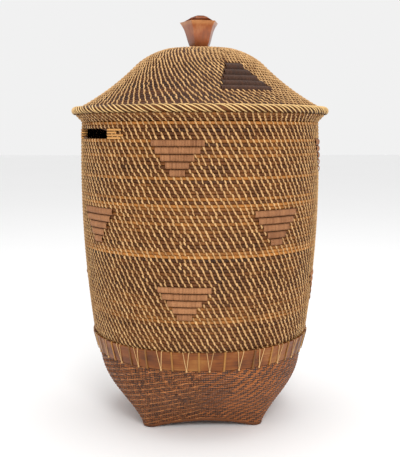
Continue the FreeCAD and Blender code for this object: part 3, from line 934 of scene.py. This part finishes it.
class BASKET_OT_motifs(bpy.types.Operator):
    """Wrapped bands of the stepped motifs on the wall"""
    bl_idname = "basket.motifs"
    bl_label = "Wall motifs"

    def execute(self, context):
        rng = random.Random(SEED + 3)
        paint, size = colours(), sizes()
        path = Path(wall_profile())
        wrap = strip_finish("tan_wrap", paint.wrap_dark, paint.wrap, tuck_shade=0.5)
        template = strip_over_cane("wrap", size.wrap_width * 1.08, size.stitch_lift * 0.8,
                                   REFERENCE_CANE, math.radians(176), steps=6)
        names = [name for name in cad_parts
                 if name.startswith(("motif_upper", "motif_middle", "motif_lower"))]
        for name in names:
            piece = wrapped_bands(name, template, path, rng, size.wrap_width,
                                  rng.uniform(0.45, 0.8))
            deliver(piece, "basket", "tan_wrap", wrap, name)
        discard(template)
        return {"FINISHED"}


BAND_LIFT = 0.0012


def wrapped_bands(node, template, path, rng, pitch, tone, from_lid=False):
    """Close turns of split cane round each band of a motif."""
    courses, places = [], []
    for band in bands_of(node):
        middle = (band["low"] + band["high"]) / 2
        along = path.at_height(middle) if not from_lid else path.at_lid_height(middle)
        course = path.course(along)
        half = (band["high"] - band["low"]) / 2 / abs(course["up"][1])
        course["rise"] = half * 0.80
        course["thick"] = half * 0.50
        course["centre"] = (np.array([course["radius"], course["height"]])
                            + course["out"] * (BAND_LIFT - course["thick"]))
        count = max(2, round((band["end"] - band["start"]) * course["radius"] / pitch))
        step = (band["end"] - band["start"]) / count
        for k in range(count):
            places.append((len(courses), band["start"] + (k + 0.5) * step))
        course["tone"] = tone + rng.gauss(0, 0.08)
        courses.append(course)
    return lay_strips(f"{node}_wrapping", template, courses, places, 0.03, rng,
                      lambda c, a: held(c["tone"] + rng.gauss(0, 0.12)),
                      loose=0.5, hem=0.42)


STRIPS_PER_END = 4
FOLD_SET_BACK = 0.014  # radians that a fold lies back from the end of its slot


class BASKET_OT_slots(bpy.types.Operator):
    """Split cane folded round both ends of each hand slot"""
    bl_idname = "basket.slots"
    bl_label = "Hand slots"

    def execute(self, context):
        rng = random.Random(SEED + 4)
        paint = colours()
        finish = strip_finish("binding", paint.binding_dark, paint.binding, tuck_shade=0.9)
        start_fresh()
        for span in slot_spans():
            pitch = (span["high"] - span["low"]) / STRIPS_PER_END
            template = straight_strip("folded", 1.0, pitch * 0.80, 0.0012, 26)
            side = "left" if (span["start"] + span["end"]) / 2 < 0 else "right"
            for end in ("front", "back"):
                node = f"slot_binding_{side}_{end}"
                self.fold(node, template, span, pitch, finish, rng)
            discard(template)
        return {"FINISHED"}

    @staticmethod
    def fold(node, template, span, pitch, finish, rng):
        """Strips from the outer face round the end of a slot to the inner face."""
        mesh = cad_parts[node].data
        points = np.array([v.co for v in mesh.vertices])
        middle = math.atan2(points[:, 0].mean(), -points[:, 1].mean())
        radii = np.hypot(points[:, 0], points[:, 1])
        outer, inner = radii.max() - 0.0002, radii.min() + 0.0008
        ends = [span["start"], span["end"]]
        edge = min(ends, key=lambda a: abs(short_way(a - middle)))
        side = 1 if short_way(middle - edge) > 0 else -1
        corners, _, _ = mesh_parts(template)
        rows, tones = [], []
        for strip in range(STRIPS_PER_END):
            reach = rng.uniform(0.50, 0.98) * points_span(points)
            lap = outer - inner
            route = np.array([[0.0, reach], [reach * outer, 0.0], [reach * outer + lap, 0.0],
                              [reach * outer + lap + 0.6 * reach * outer, 0.6 * reach]])
            total = route[-1, 0]
            along = (corners[:, 0] + 0.5) * total
            turn = np.interp(along, route[:, 0], route[:, 1])
            deep = np.clip((along - route[1, 0]) / lap, 0, 1)
            deep = deep * deep * (3 - 2 * deep)
            radius = outer + (inner - outer) * deep
            normal = np.cos(deep * math.pi)
            radius = radius + corners[:, 1] * normal
            azimuth = edge + side * (FOLD_SET_BACK + turn
                                     - corners[:, 1] * np.sin(deep * math.pi) / outer)
            height = span["low"] + (strip + 0.5) * pitch + corners[:, 2]
            rows.append(round_axis(radius, azimuth, height))
            tones.append(rng.gauss(0.72, 0.12))
        piece = copies(f"{node}_strips", template, np.array(rows), tones,
                       np.zeros(len(corners)))
        tidy_mesh(piece)
        deliver(piece, "basket", "pale_split_cane", finish, node)


def points_span(points):
    """How many radians round the axis a set of points covers."""
    middle = math.atan2(points[:, 0].mean(), -points[:, 1].mean())
    turn = short_way(np.arctan2(points[:, 0], -points[:, 1]) - middle)
    return float(turn.max() - turn.min())


class BASKET_OT_hoop(bpy.types.Operator):
    """Finish of the two hoops, and the lashings that hold them"""
    bl_idname = "basket.hoop"
    bl_label = "Hoop and lashings"

    def execute(self, context):
        rng = random.Random(SEED + 5)
        paint = colours()
        finish = hoop_finish("hoop_cane", paint)
        for node in ("base_hoop", "inner_base_hoop"):
            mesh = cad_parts[node]
            for slot in mesh.material_slots:
                slot.material = finish
        self.lashings(rng, paint)
        return {"FINISHED"}

    @staticmethod
    def lashings(rng, paint):
        """Paired threads, straps and knots round the hoop."""
        low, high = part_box("base_hoop")
        hoop = tree_of("base_hoop")
        bottom, top = low[2], high[2]
        foot = outside(hoop, 0.0, bottom + 0.0005)
        head = outside(hoop, 0.0, top - 0.0005)
        pairs = 28
        thread = straight_strip("thread", 1.0, 0.0013, 0.0009, 16)
        strap = straight_strip("strap", 1.0, 0.0034, 0.0009, 16)
        knot_rows, thread_rows, strap_rows = [], [], []

        def route(corners, azimuth, spread):
            """Over the top edge, down the face and under the bottom edge."""
            steps = np.array([[0.0, head - 0.0032, top + 0.0007],
                              [0.10, head - 0.0002, top + 0.0009],
                              [0.14, head + 0.0008, top + 0.0001],
                              [0.90, foot + 0.0010, bottom - 0.0002],
                              [0.94, foot + 0.0006, bottom - 0.0012],
                              [1.0, foot - 0.0022, bottom - 0.0010]])
            along = corners[:, 0] + 0.5
            radius = np.interp(along, steps[:, 0], steps[:, 1])
            height = np.interp(along, steps[:, 0], steps[:, 2])
            slope = np.interp(along, [0.06, 0.16, 0.88, 0.98], [-1.57, 0.25, 0.25, 1.57])
            radius = radius + corners[:, 1] * np.cos(slope)
            height = height - corners[:, 1] * np.sin(slope)
            sideways = corners[:, 2] + spread * np.clip((0.92 - along) / 0.8, 0, 1.05)
            turn = azimuth + sideways / radius
            return round_axis(radius, turn, height)

        for pair in range(pairs):
            azimuth = (pair + rng.gauss(0, 0.05)) * TURN / pairs + 0.05
            corners, _, _ = mesh_parts(thread)
            spread = rng.uniform(0.0036, 0.0052)
            thread_rows.append(route(corners, azimuth, spread))
            thread_rows.append(route(corners, azimuth, -spread))
            corners, _, _ = mesh_parts(strap)
            offset = (0.5 + rng.gauss(0, 0.04)) * TURN / pairs
            strap_rows.append(route(corners, azimuth + offset, rng.gauss(0, 0.0006)))
            knot_rows.append((azimuth, foot + 0.0006, bottom - 0.0004))
        pale = strip_finish("thread", paint.straw_dark, paint.straw, tuck_shade=1.0)
        amber = strip_finish("strap", paint.hoop_dark, paint.strap, tuck_shade=1.0)
        tones = [min(1.0, rng.gauss(0.8, 0.15)) for _ in thread_rows]
        threads = copies("lashing_threads", thread, np.array(thread_rows), tones)
        straps = copies("lashing_straps", strap, np.array(strap_rows),
                        [min(1.0, max(0, rng.gauss(0.6, 0.2))) for _ in strap_rows])
        start_fresh()
        bpy.ops.mesh.primitive_uv_sphere_add(segments=8, ring_count=6, radius=0.0015)
        bead = bpy.context.object
        corners, _, _ = mesh_parts(bead)
        rows = np.array([corners * np.array([1, 1, 1.25])
                         + np.array([r * math.sin(a), -r * math.cos(a), z])
                         for a, r, z in knot_rows])
        knots = copies("lashing_knots", bead, rows, [0.85] * len(rows))
        for piece in (threads, knots):
            deliver(piece, "basket", "pale_split_cane", pale)
        deliver(straps, "basket", "pale_split_cane", amber, "hoop_lashings")
        discard(thread, strap, bead)


def hoop_finish(name, paint):
    """Flat cane: fine level grain, amber with dark stains."""
    nodes = Nodes(name, roughness=0.45, specular=0.3)
    grain = nodes.noise(nodes.place(scale=(14, 14, 900)), 1.0, detail=3.0)
    stain = nodes.noise(nodes.place(scale=(1, 1, 2.2)), 17.0, detail=4.0)
    tone = nodes.maths("ADD", nodes.maths("MULTIPLY", stain, 1.5),
                       nodes.maths("MULTIPLY", grain, 0.55))
    tone = nodes.maths("SUBTRACT", tone, 0.55)
    base = nodes.ramp(tone, (0.12, paint.hoop_dark), (0.50, paint.hoop), (1.0, paint.strap))
    nodes.bump(grain, 0.0005)
    return nodes.finish(base, nodes.spread(grain, 0.3, 0.22))


class BASKET_OT_foot(bpy.types.Operator):
    """Twill plaiting all over the foot, and the roll along its lower edge"""
    bl_idname = "basket.foot"
    bl_label = "Plaited foot"

    def execute(self, context):
        rng = random.Random(SEED + 6)
        paint = colours()
        surface = FootSurface()
        core = plait_finish("foot_core", paint)
        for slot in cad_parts["plaited_base"].material_slots:
            slot.material = core
        finish = strip_finish("foot_strip", paint.foot_dark, paint.foot, tuck_shade=0.35)
        ribs = strip_finish("foot_rib", paint.foot_dark, paint.foot_pale, tuck_shade=0.6)
        self.twill(surface, rng, finish)
        self.ribs(surface, rng, ribs, finish)
        self.edge(surface, finish)
        return {"FINISHED"}

    @staticmethod
    def ribbed(azimuth):
        """The stretch plaited in ribs rather than in plain twill."""
        return in_span(azimuth, math.radians(-78), math.radians(-2))

    def twill(self, surface, rng, finish):
        size = sizes()
        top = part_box("base_hoop")[0][2] + 0.001
        warp = TURN / size.warp_count
        template = bowed_strip("float", size.weft_pitch * 0.66, 0.0017, cuts=4, bow=0.9)
        places, tones = [], []
        row = 0
        height = 0.004
        while height < top:
            for k in range(size.warp_count // 4):
                azimuth = (4 * k + row) * warp + rng.gauss(0, 0.08) * warp
                if self.ribbed(azimuth) or height < surface.lower_edge(azimuth) + 0.002:
                    continue
                long = 2.9 * warp * float(surface.radius(azimuth, height))
                places.append((azimuth, height + rng.gauss(0, 0.00012),
                               math.radians(4) + rng.gauss(0, 0.03), long, 1.0))
                tones.append(0.5 + rng.gauss(0, 0.2) + 0.5 * math.exp(
                    -((azimuth + 0.1 - 0.35) % TURN) ** 2 / 0.3))
            height += size.weft_pitch * 0.84
            row += 1
        tones = np.clip(tones, 0, 1)
        piece = lay_floats("foot_twill", template, surface, places, tones)
        deliver(piece, "basket", "plaited_cane", finish)
        discard(template)

    def ribs(self, surface, rng, rib_finish, bar_finish):
        size = sizes()
        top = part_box("base_hoop")[0][2] + 0.001
        tilt = math.radians(15)
        pitch = 0.0088
        rib = bowed_strip("rib", 0.0022, 0.0020, cuts=4, bow=0.4)
        bar = bowed_strip("bar", 0.0018, 0.0013, cuts=3, bow=0.8)
        rib_places, bar_places, rib_tones, bar_tones = [], [], [], []
        radius = 0.145
        start, end = math.radians(-78), math.radians(-2)
        for row in range(-4, 18):
            azimuth = start
            while azimuth < end:
                base = 0.001 + row * pitch + (azimuth - start) * radius * math.tan(tilt)
                local = float(surface.radius(azimuth, np.clip(base, 0.002, top)))
                if surface.lower_edge(azimuth) + 0.002 < base < top:
                    if rng.random() < 0.94:
                        rib_places.append((azimuth, base, tilt, 0.0075, 1.0))
                        rib_tones.append(rng.gauss(0.55, 0.2))
                middle = base + pitch / 2
                if surface.lower_edge(azimuth) + 0.003 < middle < top:
                    for half in (-0.25, 0.25):
                        bar_places.append((azimuth + half * 0.0052 / local, middle,
                                           math.radians(84), pitch * 0.86, 1.0))
                        bar_tones.append(rng.gauss(0.35, 0.18))
                azimuth += 0.0052 / local
        piece = lay_floats("foot_ribs", rib, surface, rib_places, np.clip(rib_tones, 0, 1))
        deliver(piece, "basket", "plaited_cane", rib_finish)
        piece = lay_floats("foot_bars", bar, surface, bar_places, np.clip(bar_tones, 0, 1))
        deliver(piece, "basket", "plaited_cane", bar_finish)
        discard(rib, bar)

    @staticmethod
    def edge(surface, finish):
        """A thick strip folded along the lower edge, following the arches."""
        start_fresh()
        roll = cane_ring(1.0, 0.0, 0.1, 360, 8)
        roll.name = "foot_edge"
        points = np.array([v.co for v in roll.data.vertices])
        turn = np.arctan2(points[:, 0], -points[:, 1])
        out = (np.hypot(points[:, 0], points[:, 1]) - 1.0) * 0.022
        up = points[:, 2] * 0.028
        height = np.maximum(surface.lower_edge(turn), 0.0004) + 0.0032
        radius = surface.radius(turn, height) - 0.0006 + out
        roll.data.vertices.foreach_set("co", np.stack(
            [radius * np.sin(turn), -radius * np.cos(turn), height + up], axis=1).reshape(-1))
        mark(roll.data, "tone", np.full(len(points), 0.25))
        roll.data.update()
        tidy_mesh(roll)
        smooth(roll)
        deliver(roll, "basket", "plaited_cane", finish)


def plait_finish(name, paint):
    """Plaiting seen between and behind the strips: a small twill in relief, darkened as painted
    shade of the gaps.
    """
    nodes = Nodes(name, roughness=0.55)
    checks = []
    for axis in ("X", "Y", "Z"):
        wave = nodes.new("ShaderNodeTexWave")
        nodes.feed(wave, "Vector", nodes.place())
        wave.bands_direction = axis
        wave.inputs["Scale"].default_value = 85.0
        wave.inputs["Distortion"].default_value = 0.6
        checks.append(wave.outputs["Fac"])
    weave = nodes.maths("MULTIPLY", nodes.maths("ADD", checks[0], checks[1]), checks[2])
    blotch = nodes.noise(nodes.place(), 40.0)
    tone = nodes.maths("MULTIPLY", weave, nodes.maths("ADD", blotch, 0.1))
    # painted shade: the plaiting behind the strips runs down to a third of the foot's darkest
    # colour
    base = nodes.ramp(tone, (0.0, tuple(c * 0.35 for c in paint.foot_dark)), (1.0, paint.foot))
    nodes.bump(weave, 0.0012)
    return nodes.finish(base)


class BASKET_OT_lid(bpy.types.Operator):
    """Coiled canes of the lid, with their stitches, and the lid's edge"""
    bl_idname = "basket.lid"
    bl_label = "Coiled lid"

    def execute(self, context):
        rng = random.Random(SEED + 1)
        paint, size = colours(), sizes()
        courses = lid_courses()
        tones = [min(max(0.45 + rng.gauss(0, 0.15), 0.05), 1.0) for _ in courses]
        cane = cane_finish("lid_cane", paint.lid_cane_dark, paint.lid_cane, paint.cane)
        piece = canes("lid_canes", courses, tones, 1.06)
        deliver(piece, "lid", "lid_cane", cane, "lid_shell")
        straw = strip_finish("lid_straw", paint.straw_dark, paint.straw)
        template = strip_over_cane("stitch", size.stitch_width * 0.9, size.stitch_lift,
                                   REFERENCE_CANE, STITCH_SPREAD)
        free = motif_test(("lid_motif",))
        for name, inside in (("lid_stitches", False), ("lid_inner_stitches", True)):
            places = self.places(courses, size, rng, (lambda a, h: True) if inside else free)
            piece = lay_strips(name, template, courses, places, 0.55, rng,
                               lambda course, azimuth: min(1.0, max(0.0, rng.gauss(0.7, 0.15))),
                               inside=inside)
            deliver(piece, "lid", "pale_split_cane", straw)
        discard(template)
        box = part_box("lid_edge_coil")
        coil = (box[1][2] - box[0][2]) / 2
        start_fresh()
        edge = join([cane_ring(box[1][0] - coil, box[0][2] + coil, coil, 160, 12),
                     cane_ring(box[1][0] - coil * 1.9, box[0][2] + coil * 2.0, coil * 0.62)],
                    "lid_edge")
        mark(edge.data, "tone", [0.6] * len(edge.data.vertices))
        settle(edge)
        smooth(edge)
        deliver(edge, "lid", "lid_cane", cane, "lid_edge_coil")
        return {"FINISHED"}

    @staticmethod
    def places(courses, size, rng, keep):
        """Stitches about one spacing apart on every course, their lines swirling to the middle."""
        places = []
        drift = 0.0
        for number, course in enumerate(courses):
            count = size.lid_stitches if course["radius"] > 0.11 else round(
                size.lid_stitches * max(course["radius"], 0.02) / 0.11)
            drift -= 0.62 * course["pitch"] / course["radius"]
            for k in range(count):
                azimuth = drift + (k + rng.gauss(0, 0.08)) * TURN / count
                if keep(azimuth, course["height"]):
                    places.append((number, azimuth))
        return places


class BASKET_OT_lid_motifs(bpy.types.Operator):
    """Dark wrapped bands of the stepped motifs on the lid"""
    bl_idname = "basket.lid_motifs"
    bl_label = "Lid motifs"

    def execute(self, context):
        rng = random.Random(SEED + 7)
        paint, size = colours(), sizes()
        path = Path(lid_profile())
        wrap = strip_finish("dark_wrap", paint.dark_wrap_deep, paint.dark_wrap, tuck_shade=0.5)
        template = strip_over_cane("wrap", size.wrap_width * 1.08, size.stitch_lift * 0.8,
                                   REFERENCE_CANE, math.radians(176), steps=6)
        for name in ("lid_motif_1", "lid_motif_2"):
            piece = wrapped_bands(name, template, path, rng, size.wrap_width, 0.5, True)
            deliver(piece, "lid", "dark_wrap", wrap, name)
        discard(template)
        return {"FINISHED"}


class BASKET_OT_knob(bpy.types.Operator):
    """Carved five-sided knob, and finishes for its screw and its disc"""
    bl_idname = "basket.knob"
    bl_label = "Knob"

    def execute(self, context):
        paint = colours()
        wood = wood_finish("knob_wood", paint)
        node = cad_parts["knob"]
        points = np.array([v.co for v in node.data.vertices])
        radii = np.hypot(points[:, 0], points[:, 1])
        outer = points[radii > 0.007]
        levels = sorted(set(np.round(outer[:, 2], 5)))
        rings = [(level, np.hypot(*outer[np.abs(outer[:, 2] - level) < 2e-5][:, :2].T).max())
                 for level in levels]
        brim = max(rings, key=lambda ring: ring[1])
        corner = outer[np.argmax(np.hypot(outer[:, 0], outer[:, 1]))]
        phase = math.atan2(corner[1], corner[0])
        below = [ring for ring in rings if ring[0] <= brim[0]]
        above = [ring for ring in rings if ring[0] > brim[0]]
        smooth_below = self.smoothed(below, 12)
        sections = smooth_below + [(brim[0] + 0.0034, brim[1] * 0.985)] + above
        start_fresh()
        bpy.ops.mesh.primitive_circle_add(vertices=5, radius=1.0, fill_type="NGON",
                                          location=(0, 0, 0))
        knob = context.object
        knob.name = "carved_knob"
        knob.rotation_euler.z = phase - math.pi / 2
        settle(knob)
        bpy.ops.object.mode_set(mode="EDIT")
        bpy.ops.mesh.select_all(action="SELECT")
        bpy.ops.transform.translate(value=(0, 0, sections[0][0]))
        bpy.ops.transform.resize(value=(sections[0][1], sections[0][1], 1),
                                 center_override=(0, 0, sections[0][0]))
        for (low, narrow), (high, wide) in zip(sections, sections[1:]):
            bpy.ops.mesh.extrude_region_move(
                TRANSFORM_OT_translate={"value": (0, 0, high - low)})
            bpy.ops.transform.resize(value=(wide / narrow, wide / narrow, 1),
                                     center_override=(0, 0, high))
        bpy.ops.mesh.select_all(action="SELECT")
        bpy.ops.mesh.normals_make_consistent(inside=False)
        bpy.ops.object.mode_set(mode="OBJECT")
        bevel = knob.modifiers.new("worn_edges", "BEVEL")
        bevel.width = 0.0009
        bevel.segments = 3
        bevel.angle_limit = math.radians(28)
        bpy.ops.object.modifier_apply(modifier="worn_edges")
        self.mark_wear(knob, brim)
        smooth(knob, 35)
        deliver(knob, "lid", "carved_wood", wood, "knob")
        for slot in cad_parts["knob_backing_disc"].material_slots:
            slot.material = wood
        steel = steel_finish("screw_steel")
        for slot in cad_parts["knob_screw"].material_slots:
            slot.material = steel
        return {"FINISHED"}

    @staticmethod
    def smoothed(rings, count):
        """More sections on a smooth curve through the given ones."""
        heights = np.array([ring[0] for ring in rings])
        radii = np.array([ring[1] for ring in rings])
        fit = np.polynomial.Polynomial.fit(heights, radii, min(3, len(rings) - 1))
        levels = np.linspace(heights[0], heights[-1], count)
        return list(zip(levels, fit(levels)))

    @staticmethod
    def mark_wear(knob, brim):
        """1 on worn, paler wood: the band above the brim."""
        points = np.array([v.co for v in knob.data.vertices])
        band = ((points[:, 2] > brim[0] - 0.0012) & (points[:, 2] < brim[0] + 0.0042)
                & (np.hypot(points[:, 0], points[:, 1]) > brim[1] * 0.70))
        mark(knob.data, "worn", band.astype(float))


def wood_finish(name, paint):
    """Carved hardwood: upright grain, darker towards its foot, pale where it is worn."""
    nodes = Nodes(name, roughness=0.36, coat=0.35)
    grain = nodes.noise(nodes.place(scale=(1, 1, 0.10)), 240.0, detail=5.0, distortion=0.4)
    cloud = nodes.noise(nodes.place(scale=(1, 1, 0.5)), 55.0, detail=3.0)
    height = nodes.new("ShaderNodeSeparateXYZ")
    nodes.feed(height, "Vector", nodes.place())
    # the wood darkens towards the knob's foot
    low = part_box("knob")[0][2]
    climb = nodes.maths("MULTIPLY", nodes.maths("SUBTRACT", height.outputs["Z"], low), 34.0,
                        clamp=True)
    tone = nodes.maths("ADD", nodes.maths("MULTIPLY", grain, 0.55),
                       nodes.maths("MULTIPLY", cloud, 0.75))
    tone = nodes.maths("MULTIPLY", nodes.maths("SUBTRACT", tone, 0.18),
                       nodes.maths("ADD", nodes.maths("MULTIPLY", climb, 0.6), 0.4))
    base = nodes.ramp(tone, (0.0, paint.wood_dark), (0.45, paint.wood), (0.9, paint.wood_pale))
    worn = nodes.maths("MULTIPLY", nodes.attribute("worn"),
                       nodes.maths("ADD", nodes.maths("MULTIPLY", cloud, 0.9), 0.25),
                       clamp=True)
    base = nodes.mix(worn, base, paint.wood_pale)
    nodes.bump(grain, 0.0006, strength=0.4)
    return nodes.finish(base, nodes.spread(grain, 0.25, 0.24))


def steel_finish(name):
    nodes = Nodes(name, roughness=0.3)
    nodes.shader.inputs["Metallic"].default_value = 1.0
    brushed = nodes.noise(nodes.place(scale=(1, 1, 12)), 500.0)
    return nodes.finish(nodes.ramp(brushed, (0.0, (0.35, 0.35, 0.35)), (1.0, (0.6, 0.6, 0.6))),
                        nodes.spread(brushed, 0.3, 0.2))


class BASKET_OT_stage(bpy.types.Operator):
    """Pale floor, soft studio light and the camera"""
    bl_idname = "basket.stage"
    bl_label = "Stage"

    def execute(self, context):
        size = sizes()
        start_fresh()
        bpy.ops.mesh.primitive_plane_add(size=30, location=(0, 0, 0))
        floor = context.object
        floor.name = "floor"
        nodes = Nodes("floor", roughness=0.9, specular=0.1)
        haze = nodes.noise(nodes.place(), 0.8)
        nodes.finish(nodes.ramp(haze, (0.0, (0.93, 0.93, 0.93)), (1.0, (0.95, 0.95, 0.95))))
        floor.data.materials.append(nodes.material)
        world = bpy.data.worlds.new("studio")
        world.use_nodes = True
        world.node_tree.nodes["Background"].inputs["Color"].default_value = (1, 1, 1, 1)
        world.node_tree.nodes["Background"].inputs["Strength"].default_value = size.daylight
        context.scene.world = world
        for name, place, power, wide in (
                ("key", (0.3, -2.6, 1.9), size.key_power, 1.0),
                ("fill", (2.2, -1.6, 1.0), size.key_power * 0.10, 1.6),
                ("top", (0, 0.2, 2.8), size.key_power * 0.55, 1.8)):
            bpy.ops.object.light_add(type="AREA", location=place)
            light = context.object
            light.name = name
            light.data.energy = power
            light.data.size = wide
            aim = Vector((0, 0, 0.33)) - Vector(place)
            light.rotation_euler = aim.to_track_quat("-Z", "Y").to_euler()
        turn = size.camera_azimuth
        bpy.ops.object.camera_add(
            location=away(turn) * size.camera_distance + Vector((0, 0, size.eye_height)),
            rotation=(math.radians(90), 0, turn))
        camera = context.object
        camera.data.lens = size.camera_lens
        camera.data.shift_y = size.camera_shift
        context.scene.camera = camera
        context.scene.view_settings.view_transform = "Standard"
        return {"FINISHED"}


class BASKET_PT_panel(bpy.types.Panel):
    """Buttons and settings for the basket"""
    bl_idname = "BASKET_PT_panel"
    bl_label = "Woven basket"
    bl_space_type = "VIEW_3D"
    bl_region_type = "UI"
    bl_category = "Basket"

    def draw(self, context):
        layout = self.layout
        for group in (context.scene.basket_sizes, context.scene.basket_colours):
            box = layout.box()
            for name in type(group).__annotations__:
                box.prop(group, name)
        for operator in OPERATORS:
            layout.operator(operator.bl_idname)


OPERATORS = [BASKET_OT_wall, BASKET_OT_rim, BASKET_OT_motifs, BASKET_OT_slots, BASKET_OT_hoop,
             BASKET_OT_foot, BASKET_OT_lid, BASKET_OT_lid_motifs, BASKET_OT_knob,
             BASKET_OT_stage]
CLASSES = [BasketSizes, BasketColours, *OPERATORS, BASKET_PT_panel]


def register():
    for kind in CLASSES:
        bpy.utils.register_class(kind)
    bpy.types.Scene.basket_sizes = bpy.props.PointerProperty(type=BasketSizes)
    bpy.types.Scene.basket_colours = bpy.props.PointerProperty(type=BasketColours)


def unregister():
    del bpy.types.Scene.basket_colours
    del bpy.types.Scene.basket_sizes
    for kind in reversed(CLASSES):
        bpy.utils.unregister_class(kind)


def main():
    register()
    bpy.ops.basket.wall()
    bpy.ops.basket.rim()
    bpy.ops.basket.motifs()
    bpy.ops.basket.slots()
    bpy.ops.basket.hoop()
    bpy.ops.basket.foot()
    bpy.ops.basket.lid()
    bpy.ops.basket.lid_motifs()
    bpy.ops.basket.knob()
    bpy.ops.basket.stage()


if __name__ == "__main__":
    main()
